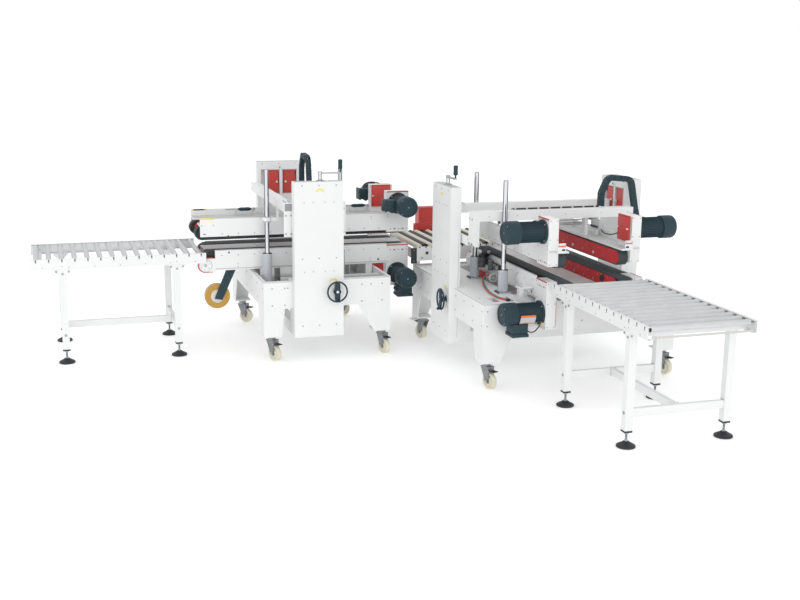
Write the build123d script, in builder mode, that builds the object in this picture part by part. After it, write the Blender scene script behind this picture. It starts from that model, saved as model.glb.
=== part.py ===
from build123d import *
import math
import os

os.makedirs("parts", exist_ok=True)

# ---------------------------------------------------------------- driving dimensions (mm)
# Shop frame: X runs along the first sealer, the second sealer runs towards -Y.
ORIGIN_X, ORIGIN_Y = 2140.0, -923.0      # centre of the whole line in the shop frame

# gravity/roller tables (infeed and outfeed are the same unit)
PITCH = 90.0
N_ROLL = 14
ROLL_D = 38.0
ROLL_Z = 752.0
TABLE_W = 709.0
RAIL_TOP, RAIL_BOT = 771.0, 694.0
TABLE_X0, TABLE_X1 = -36.0, 1206.0
LEG = 50.0
LEG_X = (180.0, 990.0)
BRACE_Z = 210.0

# sealers
DECK_Z = 600.0
SKIRT_Z = 395.0
LEG_BOT_Z = 190.0
FAR_TOP_Z = 1340.0                       # top of the far lifting columns
COL_T = 80.0                             # thickness of a lifting column across the line
ROD_R = 17.0
ROD_TOP_Z = 1390.0
PORTAL_END = 545.0                   # far end of the downstream portal beam
BELT_TOP_Z = 766.0                       # carrying face of the lower belts
BELT_BOT_Z = 850.0                       # pressing face of the upper belts
BELT_H = 106.0
UP_W, LOW_W = 64.0, 96.0                 # widths of an upper and a lower belt
BELT_T = 7.0
GEAR_W = 74.0
MOTOR_R = 78.0
MOTOR_L = 285.0
WHEEL_R = 57.5
WHEEL_W = 36.0

parts = {}


def keep(bp, label):
    bp.part.label = label
    export_step(bp.part, "parts/" + label + ".step")
    parts[label] = bp.part.bounding_box()


def frame(o, x):
    """A local frame standing on the floor, x along the conveying direction."""
    return Plane(origin=(o[0] - ORIGIN_X, o[1] - ORIGIN_Y, 0), x_dir=x, z_dir=(0, 0, 1))


def lp(m, o, x=(1, 0, 0), z=(0, 0, 1)):
    """A plane given in the local frame m."""
    def vec(v):
        return m.x_dir * v[0] + m.y_dir * v[1] + m.z_dir * v[2]
    return Plane(origin=m.origin + vec(o), x_dir=vec(x), z_dir=vec(z))


def side(m, u, v):
    """Plane standing across v: sketch x along u, sketch y up, normal towards -v."""
    return lp(m, (u, v, 0), (1, 0, 0), (0, -1, 0))


def cross(m, u, v):
    """Plane standing across u: sketch x along v, sketch y up, normal towards +u."""
    return lp(m, (u, v, 0), (0, 1, 0), (1, 0, 0))


def at_point(m, p):
    """Placement of a local point: in the current workplane, or in the frame m."""
    return Locations(p) if m is None else Locations(m.location * Location(p))


def block(x0, x1, y0, y1, z0, z1, mode=Mode.ADD, m=None):
    with at_point(m, ((x0 + x1) / 2, (y0 + y1) / 2, (z0 + z1) / 2)):
        Box(abs(x1 - x0), abs(y1 - y0), abs(z1 - z0), mode=mode)


def rod_x(x0, x1, y, z, r, mode=Mode.ADD, m=None):
    with at_point(m, ((x0 + x1) / 2, y, z)):
        Cylinder(r, abs(x1 - x0), rotation=(0, 90, 0), mode=mode)


def rod_y(x, y0, y1, z, r, mode=Mode.ADD, m=None):
    with at_point(m, (x, (y0 + y1) / 2, z)):
        Cylinder(r, abs(y1 - y0), rotation=(90, 0, 0), mode=mode)


def rod_z(x, y, z0, z1, r, mode=Mode.ADD, m=None):
    with at_point(m, (x, y, (z0 + z1) / 2)):
        Cylinder(r, abs(z1 - z0), mode=mode)


# ---------------------------------------------------------------- roller tables
def roller_table(tag, t):
    # two folded side rails: web, top flange and bottom flange, tied by two cross channels
    with BuildPart(t) as rails:
        for y0, s in ((0.0, 1), (TABLE_W, -1)):
            block(TABLE_X0, TABLE_X1, y0, y0 + s * 4, RAIL_BOT, RAIL_TOP)
            block(TABLE_X0, TABLE_X1, y0 + s * 4, y0 + s * 26, RAIL_TOP - 3, RAIL_TOP)
            block(TABLE_X0, TABLE_X1, y0 + s * 4, y0 + s * 30, RAIL_BOT, RAIL_BOT + 4)
        for x in (TABLE_X0 + 60, TABLE_X1 - 100):
            block(x - 20, x + 20, 4, TABLE_W - 4, RAIL_BOT + 4, RAIL_BOT + 30)
    keep(rails, tag + "_rails")

    # fourteen rollers, each a tube on a through axle seated in the rail webs
    with BuildPart(t) as rollers:
        for i in range(N_ROLL):
            rod_y(PITCH * i, 32, TABLE_W - 32, ROLL_Z, ROLL_D / 2)
            rod_y(PITCH * i, 4, TABLE_W - 4, ROLL_Z - 1.0, 6.0)
    keep(rollers, tag + "_rollers")

    # square legs with gusset heads, end braces and one long brace
    with BuildPart(t) as legs:
        for x in LEG_X:
            for yc in (LEG / 2, TABLE_W - LEG / 2):
                block(x - LEG / 2, x + LEG / 2, yc - LEG / 2, yc + LEG / 2, 96, RAIL_BOT)
                v = 0.0 if yc < TABLE_W / 2 else TABLE_W
                inward = 6 if v == 0.0 else -6
                with BuildSketch(side(t, x, v)):
                    Polygon((-66, RAIL_BOT), (66, RAIL_BOT), (LEG / 2, RAIL_BOT - 44),
                            (-LEG / 2, RAIL_BOT - 44), align=None)
                extrude(amount=-inward)
            block(x - 15, x + 15, LEG, TABLE_W - LEG, BRACE_Z - 25, BRACE_Z + 25)
        block(LEG_X[0] + 15, LEG_X[1] - 15, TABLE_W / 2 - 15, TABLE_W / 2 + 15,
              BRACE_Z - 25, BRACE_Z + 25)
    keep(legs, tag + "_legs")


# ---------------------------------------------------------------- casters
def caster(tag, m, u, v, turn):
    """Swivelling fork with brake pedal and its wheel. turn: direction of trail, degrees from +u."""
    a = math.radians(turn)
    base = lp(m, (u, v, 0))
    c = Plane(origin=base.origin, x_dir=base.x_dir * math.cos(a) + base.y_dir * math.sin(a), z_dir=(0, 0, 1))
    trail = 34.0
    with BuildPart(c) as fork:
        rod_z(0, 0, 158, 178, 27)                           # swivel head
        block(-30, 46, -30, 30, 150, 158)                   # crown
        for s in (-1, 1):
            with BuildSketch(side(c, 0, s * 24 + 3)):
                Polygon((-30, 150), (46, 150), (46, 110), (trail + 16, WHEEL_R - 14),
                        (trail - 16, WHEEL_R - 14), align=None)
            extrude(amount=6)
        rod_y(trail, -32, 32, WHEEL_R, 6)                   # axle bolt
        block(30, 96, -20, 20, 128, 133)                    # brake pedal
        block(30, 44, -21, 21, 128, 152)
    keep(fork, tag + "_fork")
    with BuildPart(c) as wheel:
        with BuildSketch(lp(c, (trail, 0, WHEEL_R), (1, 0, 0), (0, -1, 0))):
            Circle(WHEEL_R)
            Circle(6.5, mode=Mode.SUBTRACT)
        extrude(amount=WHEEL_W / 2, both=True)
        fillet(wheel.edges().filter_by(GeomType.CIRCLE).sort_by(SortBy.RADIUS)[-2:], radius=6)
    keep(wheel, tag + "_wheel")


# ---------------------------------------------------------------- one belt sealer
def stadium_plate(m, u0, u1, v, z0, z1, depth):
    """Round-ended plate or loop outline in the side view, extruded towards +v from v."""
    h = z1 - z0
    with BuildSketch(lp(m, ((u0 + u1) / 2, v, (z0 + z1) / 2), (1, 0, 0), (0, -1, 0))) as outline:
        SlotOverall(abs(u1 - u0), h)
    extrude(outline.sketch, amount=-depth)


def belt_loop(m, u0, u1, v, z0, z1, depth):
    """One closed belt with the drum in each end that it wraps."""
    h = z1 - z0
    with BuildSketch(lp(m, ((u0 + u1) / 2, v, (z0 + z1) / 2), (1, 0, 0), (0, -1, 0))) as outline:
        SlotOverall(abs(u1 - u0), h)
        SlotOverall(abs(u1 - u0) - 2 * BELT_T, h - 2 * BELT_T, mode=Mode.SUBTRACT)
        with Locations((-(u1 - u0) / 2 + h / 2, 0), ((u1 - u0) / 2 - h / 2, 0)):
            Circle(h / 2 - BELT_T + 0.5)
    extrude(outline.sketch, amount=-depth)


def red_plates(m, u0, u1, r0, r1, v, z0, z1, w, local=None):
    """Side plates r0..r1 on both faces of a belt u0..u1, joined by a core between its drums."""
    h = z1 - z0
    stadium_plate(m, r0, r1, v - 4, z0 + 8, z1 - 8, 4)
    stadium_plate(m, r0, r1, v + w, z0 + 8, z1 - 8, 4)
    block(u0 + h, u1 - h, v, v + w, z0 + BELT_T + 1, z1 - BELT_T - 1, m=local)


def half_round(m, u0, u1, v, z0, z1, depth, out):
    """Plate with one round end: out = -1 rounds the end at u0, +1 the end at u1."""
    r = (z1 - z0) / 2
    c = u0 + r if out < 0 else u1 - r
    with BuildSketch(lp(m, (c, v, (z0 + z1) / 2), (1, 0, 0), (0, -1, 0))) as outline:
        Circle(r)
        if out < 0:
            with Locations(((u1 - c) / 2, 0)):
                Rectangle(u1 - c, 2 * r)
        else:
            with Locations(((u0 - c) / 2, 0)):
                Rectangle(c - u0, 2 * r)
    extrude(outline.sketch, amount=-depth)


def motor(u, v0, z, out, box_u, box_z):
    """Flange, finned drum and fan cowl along v, with its terminal box."""
    rod_y(u, v0, v0 + out * 16, z, 82)
    rod_y(u, v0 + out * 16, v0 + out * 190, z, 74)
    rod_y(u, v0 + out * 190, v0 + out * MOTOR_L, z, MOTOR_R)
    c = v0 + out * 105
    if box_u:
        block(u + box_u * 60, u + box_u * 150, c - 52, c + 52, z - 46, z + 46)
    if box_z:
        c = v0 + out * 165
        block(u - 62, u + 62, c - 60, c + 60, z + box_z * 60, z + box_z * 150)


def sealer(tag, m, k):
    hu0, hu1 = k["base_u"]
    vn, vf = k["base_v"]
    cu0, cu1 = k["col_u"]
    co = k["col_v"]                                         # outer face of the near column
    ci = co + COL_T
    fi, fo_col = k["far_col"]                               # inner and outer face of the far column
    tz = k["col_top"]
    # body: sheet-metal housing with an open tray on top, notched for the far column
    with BuildPart(m) as base:
        block(hu0, hu1, vn, vf, SKIRT_Z, DECK_Z)
        block(cu0, cu1, fi, vf + 1, SKIRT_Z - 1, DECK_Z + 1, mode=Mode.SUBTRACT)
        if ci > vn:
            block(cu0, cu1, vn - 1, ci, SKIRT_Z - 1, DECK_Z + 1, mode=Mode.SUBTRACT)
        for (a, b, c, d) in k["deck_slots"]:
            block(a, b, c, d, DECK_Z - k["deck_depth"], DECK_Z + 1, mode=Mode.SUBTRACT)
    keep(base, tag + "_base")

    # four tapered corner legs, each a folded front and side plate on a foot plate
    with BuildPart(m) as legs:
        for su, ue in ((1, hu0), (-1, hu1)):
            w_top = k["leg_top"][0] if su == 1 else k["leg_top"][1]
            for sv, ve in ((1, vn), (-1, vf)):
                with BuildSketch(side(m, ue, ve)):
                    Polygon((0, SKIRT_Z), (su * w_top, SKIRT_Z), (su * 130, LEG_BOT_Z), (0, LEG_BOT_Z), align=None)
                extrude(amount=-sv * 5)
                with BuildSketch(cross(m, ue, ve)):
                    Polygon((0, SKIRT_Z), (sv * 230, SKIRT_Z), (sv * 130, LEG_BOT_Z), (0, LEG_BOT_Z), align=None)
                extrude(amount=su * 5)
                block(ue, ue + su * 130, ve, ve + sv * 130, LEG_BOT_Z - 6, LEG_BOT_Z + 2)
                block(ue + su * 5, ue + su * 130, ve + sv * 5, ve + sv * 130, LEG_BOT_Z + 2, LEG_BOT_Z + 3)
        # two sill beams tie the feet of the columns under the body
        for a in (cu0, cu1 - 70):
            block(a, a + 70, ci + 90, fi - 90, LEG_BOT_Z, LEG_BOT_Z + 85)
    keep(legs, tag + "_legs")

    # near column: boxed lifting mast with a foot that runs in under the body;
    # far column: the same mast with a recess for two doors in its inner side
    hw_u, hw_z = k["hand_u"], k["hand_z"]
    cr_u, cr_v = k["crank"]
    cw = cu1 - cu0
    with BuildPart(m) as col:
        block(cu0, cu1, co, ci, LEG_BOT_Z, tz)
        block(cu0, cu1, ci, ci + 90, LEG_BOT_Z, SKIRT_Z)
        rod_y(hw_u, co - 1, co + 40, hw_z, 13, mode=Mode.SUBTRACT)
        rod_z(cr_u, cr_v, tz - 40, tz + 1, 13, mode=Mode.SUBTRACT)
        block(cu0, cu1, fi, fo_col, LEG_BOT_Z, FAR_TOP_Z)
        block(cu0, cu1, fi - 90, fi, LEG_BOT_Z, SKIRT_Z)
        for a, b in ((33, 187), (212, 332)):
            block(cu0 + a / 365 * cw, cu0 + b / 365 * cw, fi - 1, fi + 45, 1074, 1273, mode=Mode.SUBTRACT)
    keep(col, tag + "_columns")

    # handwheel with hub, two spokes and a turning grip
    with BuildPart(m) as hw:
        with Locations((hw_u, co - 45, hw_z)):
            Torus(72, 8, rotation=(90, 0, 0))
        rod_y(hw_u, co - 54, co - 6, hw_z, 20)
        rod_y(hw_u, co - 6, co + 38, hw_z, 12.5)
        block(hw_u - 20, hw_u + 20, co - 52, co - 40, hw_z - 70, hw_z + 70)
        rod_y(hw_u + 8, co - 76, co - 46, hw_z - 66, 10)
    keep(hw, tag + "_handwheel")

    # crank on the column's top
    with BuildPart(m) as cr:
        rod_z(cr_u, cr_v, tz - 38, tz + 70, 12.5)
        block(cr_u, cr_u + 150, cr_v - 11, cr_v + 11, tz + 52, tz + 64)
        rod_z(cr_u + 150, cr_v, tz + 52, tz + 84, 9)
        rod_z(cr_u + 150, cr_v, tz + 84, tz + 154, 16)
    keep(cr, tag + "_crank")

    ra, rb = k["rods"]
    rv = k["rod_v"]

    # lifting head: an upstream square beam and a downstream plate portal, their near legs
    # tied along the near side, hangers to the far belt unit and collars on the rods
    (a0, a1), (b0, b1) = k["beams"]
    hv0, hv1 = k["head_v"]
    with BuildPart(m) as head:
        block(a0, a1, hv0, hv1, 1106, 1172)
        block(a0, a1, hv0, hv0 + 8, 925, 1106)
        with BuildSketch(cross(m, b0, 0)) as portal:
            with BuildLine():
                Polyline((hv0, 925), (hv0, 1170), (PORTAL_END, 1170), (PORTAL_END, 1104), (hv0 + 50, 1104),
                         (hv0 + 50, 925), close=True)
            make_face()
            fillet(portal.vertices().sort_by(Axis((0, 0, 0), (0, 0, 1)))[-2:].sort_by_distance(
                m.origin + m.y_dir * hv0)[:1], radius=34)
        extrude(amount=b1 - b0)
        block(a1, b0, hv0, hv0 + 8, 925, 985)
        for u in (a0 + 10, b0 + 10):
            for v in k["hangers"]:
                block(u, u + 46, v, v + 26, BELT_BOT_Z + BELT_H + 17, 1107)
        for u in (ra, rb):
            rod_z(u, rv, 1006, 1034, 32)
            block(u, a0 + 12 if u == ra else b1 - 12, rv - 14, rv + 14, 1008, 1032)
            block((a0 if u == ra else b1 - 12), (a0 + 12 if u == ra else b1), rv - 14, rv + 14, 1008, 1107)
            rod_z(u, rv, 990, 1050, ROD_R + 0.5, mode=Mode.SUBTRACT)
    keep(head, tag + "_head_beams")

    # belt units
    nu0 = k["upper_u"]
    lu0 = k["lower_u"]
    g0, g1 = k["gear_u"]
    no = k["near_v"]                                        # outer face of the near units
    fo = k["far_v"]                                         # outer face of the far upper gearbox
    lo = fo + LOW_W - UP_W                                  # outer face of the far lower gearbox
    z1 = BELT_BOT_Z + BELT_H
    end = g1 + 12
    ui = UP_W + 8                                           # gearbox side to inner red face
    with BuildPart(m) as up:
        for vo, s in ((no, 1), (fo, -1)):
            block(nu0, g0, vo, vo + s * 6, 886, 1024)
            block(nu0, g0, vo + s * 6, vo + s * (GEAR_W + ui), z1 + 5, z1 + 17)
            block(nu0 + 60, g0, vo + s * 6, vo + s * (GEAR_W - 4), 900, z1 + 5)
            block(g0, g1, vo, vo + s * GEAR_W, 872, 1188)
            block(g0, g1 + 14, vo + s * GEAR_W, vo + s * (GEAR_W + ui), z1 + 5, z1 + 17)
            block(g1 + 6, g1 + 14, vo + s * (GEAR_W - 12), vo + s * (GEAR_W + 47), z1 + 5, 1028)
            block(g1, g1 + 14, vo + s * (GEAR_W - 12), vo + s * GEAR_W, z1 + 5, 1028)
    keep(up, tag + "_upper_housings")
    with BuildPart(m) as ub:
        for va in (no + GEAR_W + 4, fo - GEAR_W - 4 - UP_W):
            belt_loop(m, k["up_belt"], end - 32, va, BELT_BOT_Z, z1, UP_W)
    keep(ub, tag + "_upper_belts")
    with BuildPart(m) as uc:
        for va in (no + GEAR_W + 4, fo - GEAR_W - 4 - UP_W):
            red_plates(m, k["up_belt"], end - 32, k["up_belt"] + 40, end - 40, va, BELT_BOT_Z, z1, UP_W)
        block(g0 + 6, g1 - 14, fo - GEAR_W - 14, fo - GEAR_W - 4, 1014, 1188)
        for u in (g0 + 30, g1 - 40):
            block(u, u + 12, fo - GEAR_W - 4, fo - GEAR_W, 1040, 1140)
    keep(uc, tag + "_upper_red_plates")
    with BuildPart(m) as um:
        gm = (g0 + g1) / 2
        motor(gm, no, 1096, -1, -1, 0)
        motor(gm, fo, 1096, 1, -1, 0)
    keep(um, tag + "_upper_motors")
    zl0 = BELT_TOP_Z - BELT_H
    with BuildPart(m) as low:
        for vo, s in ((no, 1), (lo, -1)):
            block(lu0, g0, vo, vo + s * 6, 640, 785 if s > 0 else 764)
            block(lu0 + 12, g0, vo + s * 6, vo + s * (GEAR_W - 4), 640, 700)
            block(lu0 + 12, g0, vo + s * (GEAR_W - 4), vo + s * (GEAR_W + LOW_W), 628, zl0 - 5)
            block(lu0 + 12, g0, vo + s * 6, vo + s * (GEAR_W - 4), 628, 640)
            block(g0, g1, vo, vo + s * GEAR_W, 448, 768)
            for u, zp in k["posts"]:
                block(u - 25, u + 25, vo + s * 20, vo + s * 60, zp, 628)
        # round-ended cover under the infeed end of the near unit
        half_round(m, lu0 - 121, lu0 + 12, no + 6, 620, 720, 14, -1)
        block(lu0 - 12, lu0 + 12, no + 20, no + GEAR_W - 4, 640, 700)
    keep(low, tag + "_lower_housings")
    with BuildPart(m) as lm:
        gm = (g0 + g1) / 2
        motor(gm, no, 548, -1, 0, -1)
        motor(gm, lo, 548, 1, 0, -1)
    keep(lm, tag + "_lower_motors")

    # cable chain arch standing on the head beside the downstream beam
    au, av = k["arch"]
    with BuildPart(m) as arch:
        with BuildSketch(cross(m, au, av)):
            with BuildLine():
                FilletPolyline(*k["arch_line"], radius=50)
            trace(line_width=42)
        extrude(amount=40)
        block(au + 40, b0, av - 170, av - 130, 1130, 1160)
    keep(arch, tag + "_cable_arch")


# ---------------------------------------------------------------- the line
t1 = frame((0, 0), (1, 0, 0))
t2 = frame((3227, -1714), (0, -1, 0))
m1 = frame((2080, 354), (1, 0, 0))
m2 = frame((3581, -687), (0, -1, 0))

roller_table("infeed", t1)
roller_table("outfeed", t2)

K1 = dict(base_u=(-514, 450), base_v=(-704, 704), col_u=(-300, 65), col_v=-784, far_col=(640, 720), col_top=1330,
          deck_slots=[(-491, -310, -680, 680), (75, 427, -680, 680), (-310, 75, -600, 560)], deck_depth=130,
          leg_top=(156, 250), hand_u=7, hand_z=528, crank=(-100, -744), rods=(-430, 130), rod_v=-430, rod_z=470, slide_v=(-136, 44), slide_z=764, slide_posts=(-280, 280),
          beams=((-355, -290), (38, 104)), head_v=(-690, 632), hangers=(60, 150), upper_u=-910, up_belt=-940, lower_u=-804, low_belt=-880,
          gear_u=(530, 708), near_v=-324, far_v=198, posts=((-400, 470), (395, 470)), arch=(-6, 210),
          arch_line=((-150, 1060), (-128, 1140), (-84, 1408), (100, 1424), (150, 1314), (150, 1130)))
K2 = dict(base_u=(-757, 750), base_v=(-735, 735), col_u=(-187, 193), col_v=-778, far_col=(593, 720), col_top=1318,
          deck_slots=[(560, 700, -640, -590), (560, 700, -540, -490), (-600, 500, -420, 420)], deck_depth=60,
          leg_top=(200, 178), hand_u=142, hand_z=512, crank=(20, -738), rods=(-113, 433), rod_v=-466, rod_z=600, slide_v=(-178, -18), slide_z=757, slide_posts=(-350, 350),
          beams=((-90, -25), (323, 403)), head_v=(-690, 580), hangers=(176, 262), upper_u=-500, up_belt=-530, lower_u=-440, low_belt=-560,
          gear_u=(771, 941), near_v=-368, far_v=310, posts=((-300, 540), (560, 600)), arch=(253, 500),
          arch_line=((-150, 1130), (-150, 1262), (-100, 1372), (84, 1356), (128, 1140), (150, 1060)))
sealer("m1", m1, K1)
sealer("m2", m2, K2)

# casters: place in each sealer's own frame and the way each one trails
C1 = {"m1_caster_a": (-448, -644, 300), "m1_caster_b": (400, -644, 290),
      "m1_caster_c": (-448, 609, 317), "m1_caster_d": (400, 600, 20)}
C2 = {"m2_caster_a": (692, -677, 20), "m2_caster_b": (-692, -660, 200),
      "m2_caster_c": (692, 677, 20), "m2_caster_d": (-692, 677, 200)}
for n, (u, v, t) in C1.items():
    caster(n, m1, u, v, t)
for n, (u, v, t) in C2.items():
    caster(n, m2, u, v, t)

# levelling feet of both tables: threaded stem on a moulded pad
with BuildPart() as feet:
    for t in (t1, t2):
        for x in LEG_X:
            for yc in (LEG / 2, TABLE_W - LEG / 2):
                with BuildSketch(lp(t, (x, yc, 0), (1, 0, 0), (0, -1, 0))):
                    with BuildLine():
                        Polyline((0, 0), (58, 0), (58, 12), (46, 20), (20, 34), (8, 34),
                                 (8, 96), (0, 96), close=True)
                    make_face()
                revolve(axis=Axis(t.origin + t.x_dir * x + t.y_dir * yc, (0, 0, 1)))
keep(feet, "table_feet")

# polished guide rods in their sockets, two on each sealer's near side
with BuildPart() as rods:
    for m, k in ((m1, K1), (m2, K2)):
        for u in k["rods"]:
            rod_z(u, k["rod_v"], k["rod_z"] + 12, DECK_Z + 165, 35, m=m)
            rod_z(u, k["rod_v"], DECK_Z + 165, ROD_TOP_Z, ROD_R, m=m)
            block(u - 45, u + 45, k["rod_v"] - 45, k["rod_v"] + 45, k["rod_z"], k["rod_z"] + 12, m=m)
keep(rods, "guide_rods")

# doors inside the far columns
with BuildPart() as doors:
    for m, k in ((m1, K1), (m2, K2)):
        cu0, cu1 = k["col_u"]
        cw = cu1 - cu0
        inner = k["far_col"][0]
        for a, b, n in ((80, 180, 171), (223, 323, 232)):
            block(cu0 + a / 365 * cw, cu0 + b / 365 * cw, inner + 8, inner + 45, 1074, 1273, m=m)
            rod_y(cu0 + (n - 8 if n < 200 else n + 6) / 365 * cw, inner - 2, inner + 8, 1172, 6, m=m)
keep(doors, "column_doors")

# lower belts with the red side plates that fill their loops
zl0 = BELT_TOP_Z - BELT_H
with BuildPart() as lb:
    for m, k in ((m1, K1), (m2, K2)):
        lo = k["far_v"] + LOW_W - UP_W
        for va in (k["near_v"] + GEAR_W + 4, lo - GEAR_W - 4 - LOW_W):
            belt_loop(m, k["low_belt"], k["gear_u"][1] + 12, va, zl0, BELT_TOP_Z, LOW_W)
keep(lb, "lower_belts")
with BuildPart() as lc:
    for m, k in ((m1, K1), (m2, K2)):
        lo = k["far_v"] + LOW_W - UP_W
        for va in (k["near_v"] + GEAR_W + 4, lo - GEAR_W - 4 - LOW_W):
            red_plates(m, k["low_belt"], k["gear_u"][1] + 12, k["low_belt"] + 8, k["gear_u"][1] - 37, va,
                       zl0, BELT_TOP_Z, LOW_W, local=m)
        half_round(m, k["lower_u"] - 129, k["lower_u"] - 13, k["near_v"] + 20, 612, 728, 8, -1)
        block(k["gear_u"][0] + 6, k["gear_u"][1] - 14, lo - GEAR_W - 10, lo - GEAR_W, 455, 600, m=m)
keep(lc, "lower_red_plates")

# stainless slide plates in the middle of each sealer, on posts from the body
with BuildPart() as sp:
    for m, k in ((m1, K1), (m2, K2)):
        a, b = k["slide_v"]
        z = k["slide_z"]
        u0, u1 = k["lower_u"] - 60, k["gear_u"][1] + 5
        block(u0, u1, a, b, z - 3, z, m=m)
        block(u0, u1, a, a + 3, z - 60, z - 3, m=m)
        block(u0, u1, b - 3, b, z - 60, z - 3, m=m)
        for u in k["slide_posts"]:
            block(u - 20, u + 20, a + 3, b - 3, z - 40, z - 3, m=m)
            block(u - 20, u + 20, (a + b) / 2 - 20, (a + b) / 2 + 20, DECK_Z - k["deck_depth"], z - 40, m=m)
keep(sp, "slide_plates")

# transfer section: powered rollers lying across the line, between the two sealers
tr = frame((2811, -17), (1, 0, 0))
with BuildPart(tr) as tf:
    block(36, 1120, 0, 5, 640, 752)
    block(36, 1120, 720, 725, 640, 752)
    block(36, 42, 5, 720, 640, 720)
    block(1114, 1120, 5, 720, 640, 720)
    for x in (260, 1060):
        block(x - 25, x + 25, 20, 70, DECK_Z, 640)
        block(x - 25, x + 25, 650, 700, 8, 640)
        block(x - 45, x + 45, 630, 720, 0, 8)
        block(x - 25, x + 25, 5, 720, 640, 670)
keep(tf, "transfer_frame")
with BuildPart(tr) as trr:
    for i in range(21):
        rod_y(60 + 51 * i, 10, 715, 748, 23)
        rod_y(60 + 51 * i, 5, 720, 744, 6)
keep(trr, "transfer_rollers")
with BuildPart(tr) as tg:
    block(252, 560, 740, 752, 700, 821)
    block(300, 500, 752, 850, 780, 950)
    block(252, 560, 725, 740, 700, 740)
keep(tg, "transfer_guard")

# side tape head of the second sealer: its red carrier plate in the tray, the arm and
# roller on the near belt unit, and the stand under that unit's outfeed end
with BuildPart(m2) as th:
    block(-298, -80, -398, -388, 540, 645)
    block(-200, 180, -410, -370, 700, 752)
    rod_z(-60, -430, 690, 790, 27)
    rod_z(110, -428, 700, 770, 20)
    block(-70, -50, -412, -403, 702, 750)
    block(100, 120, -412, -407, 702, 750)
    for u in (690, 722):
        block(u, u + 14, -470, -440, 600, 690)
    block(670, 745, -475, -370, 690, 700)
keep(th, "m2_tape_head")

# tape reel and its arm under the first sealer's infeed end
with BuildPart(m1) as ra:
    with BuildSketch(side(m1, 0, -270)):
        Polygon((-712, 628), (-640, 628), (-748, 390), (-806, 402), align=None)
    extrude(amount=-12)
    rod_y(-782, -258, -200, 418, 8)
keep(ra, "m1_reel_arm")
with BuildPart(m1) as rr:
    rod_y(-782, -252, -204, 418, 96)
    rod_y(-782, -253, -203, 418, 9, mode=Mode.SUBTRACT)
keep(rr, "m1_tape_reel")

lo = [min(getattr(b.min, c) for b in parts.values()) for c in "XYZ"]
hi = [max(getattr(b.max, c) for b in parts.values()) for c in "XYZ"]
print(len(parts), "pieces, box", [round(v, 2) for v in lo], [round(v, 2) for v in hi])
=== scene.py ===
import math
import random

import bmesh
import bpy
from mathutils import Matrix, Vector


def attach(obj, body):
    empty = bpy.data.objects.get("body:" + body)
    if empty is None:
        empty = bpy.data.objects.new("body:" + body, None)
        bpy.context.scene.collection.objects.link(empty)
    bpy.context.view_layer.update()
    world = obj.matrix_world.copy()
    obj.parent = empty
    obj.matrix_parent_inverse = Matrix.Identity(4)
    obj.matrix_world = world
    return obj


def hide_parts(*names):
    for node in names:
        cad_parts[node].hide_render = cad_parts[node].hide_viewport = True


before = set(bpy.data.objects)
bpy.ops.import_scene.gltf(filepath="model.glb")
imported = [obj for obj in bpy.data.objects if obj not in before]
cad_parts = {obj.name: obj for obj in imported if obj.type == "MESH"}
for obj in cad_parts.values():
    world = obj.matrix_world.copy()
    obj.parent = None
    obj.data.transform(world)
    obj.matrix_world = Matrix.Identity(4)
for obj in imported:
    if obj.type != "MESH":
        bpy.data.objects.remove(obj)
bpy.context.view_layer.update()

random.seed(11)
scene = bpy.context.scene

# ------------------------------------------------------------------ camera
cam_data = bpy.data.cameras.new("camera")
cam_data.sensor_width = 36.0
cam_data.lens = 50.646
cam_data.clip_start, cam_data.clip_end = 0.1, 100.0
camera = bpy.data.objects.new("camera", cam_data)
scene.collection.objects.link(camera)
right = Vector((0.95321916, -0.30208848, 0.01076032))
up = Vector((0.05556634, 0.2101041, 0.97609869))
fwd = Vector((0.29712896, 0.92983806, -0.21706121))
camera.matrix_world = Matrix((
    (right.x, up.x, -fwd.x, -2.061805),
    (right.y, up.y, -fwd.y, -7.336962),
    (right.z, up.z, -fwd.z, 2.257521),
    (0, 0, 0, 1)))
scene.camera = camera

# ------------------------------------------------------------------ light
scene.view_settings.view_transform = "Standard"
world = bpy.data.worlds.new("studio")
world.use_nodes = True
wt = world.node_tree
wt.nodes["Background"].inputs["Color"].default_value = (1.0, 1.0, 1.0, 1.0)
path = wt.nodes.new("ShaderNodeLightPath")                  # soft studio sky behind, gentler as a light
level = wt.nodes.new("ShaderNodeMapRange")
level.inputs["To Min"].default_value, level.inputs["To Max"].default_value = 0.84, 1.0
wt.links.new(path.outputs["Is Camera Ray"], level.inputs["Value"])
wt.links.new(level.outputs["Result"], wt.nodes["Background"].inputs["Strength"])
scene.world = world


def sun(name, direction, strength, angle, colour=(1, 1, 1)):
    d = bpy.data.lights.new(name, "SUN")
    d.energy, d.angle, d.color = strength, math.radians(angle), colour
    o = bpy.data.objects.new(name, d)
    o.rotation_mode = "QUATERNION"
    o.rotation_quaternion = Vector(direction).to_track_quat("-Z", "Y")
    scene.collection.objects.link(o)


sun("key", (0.12, 0.95, -0.30), 0.65, 60)
sun("top", (0.15, -0.1, -1.0), 0.28, 80)


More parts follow.
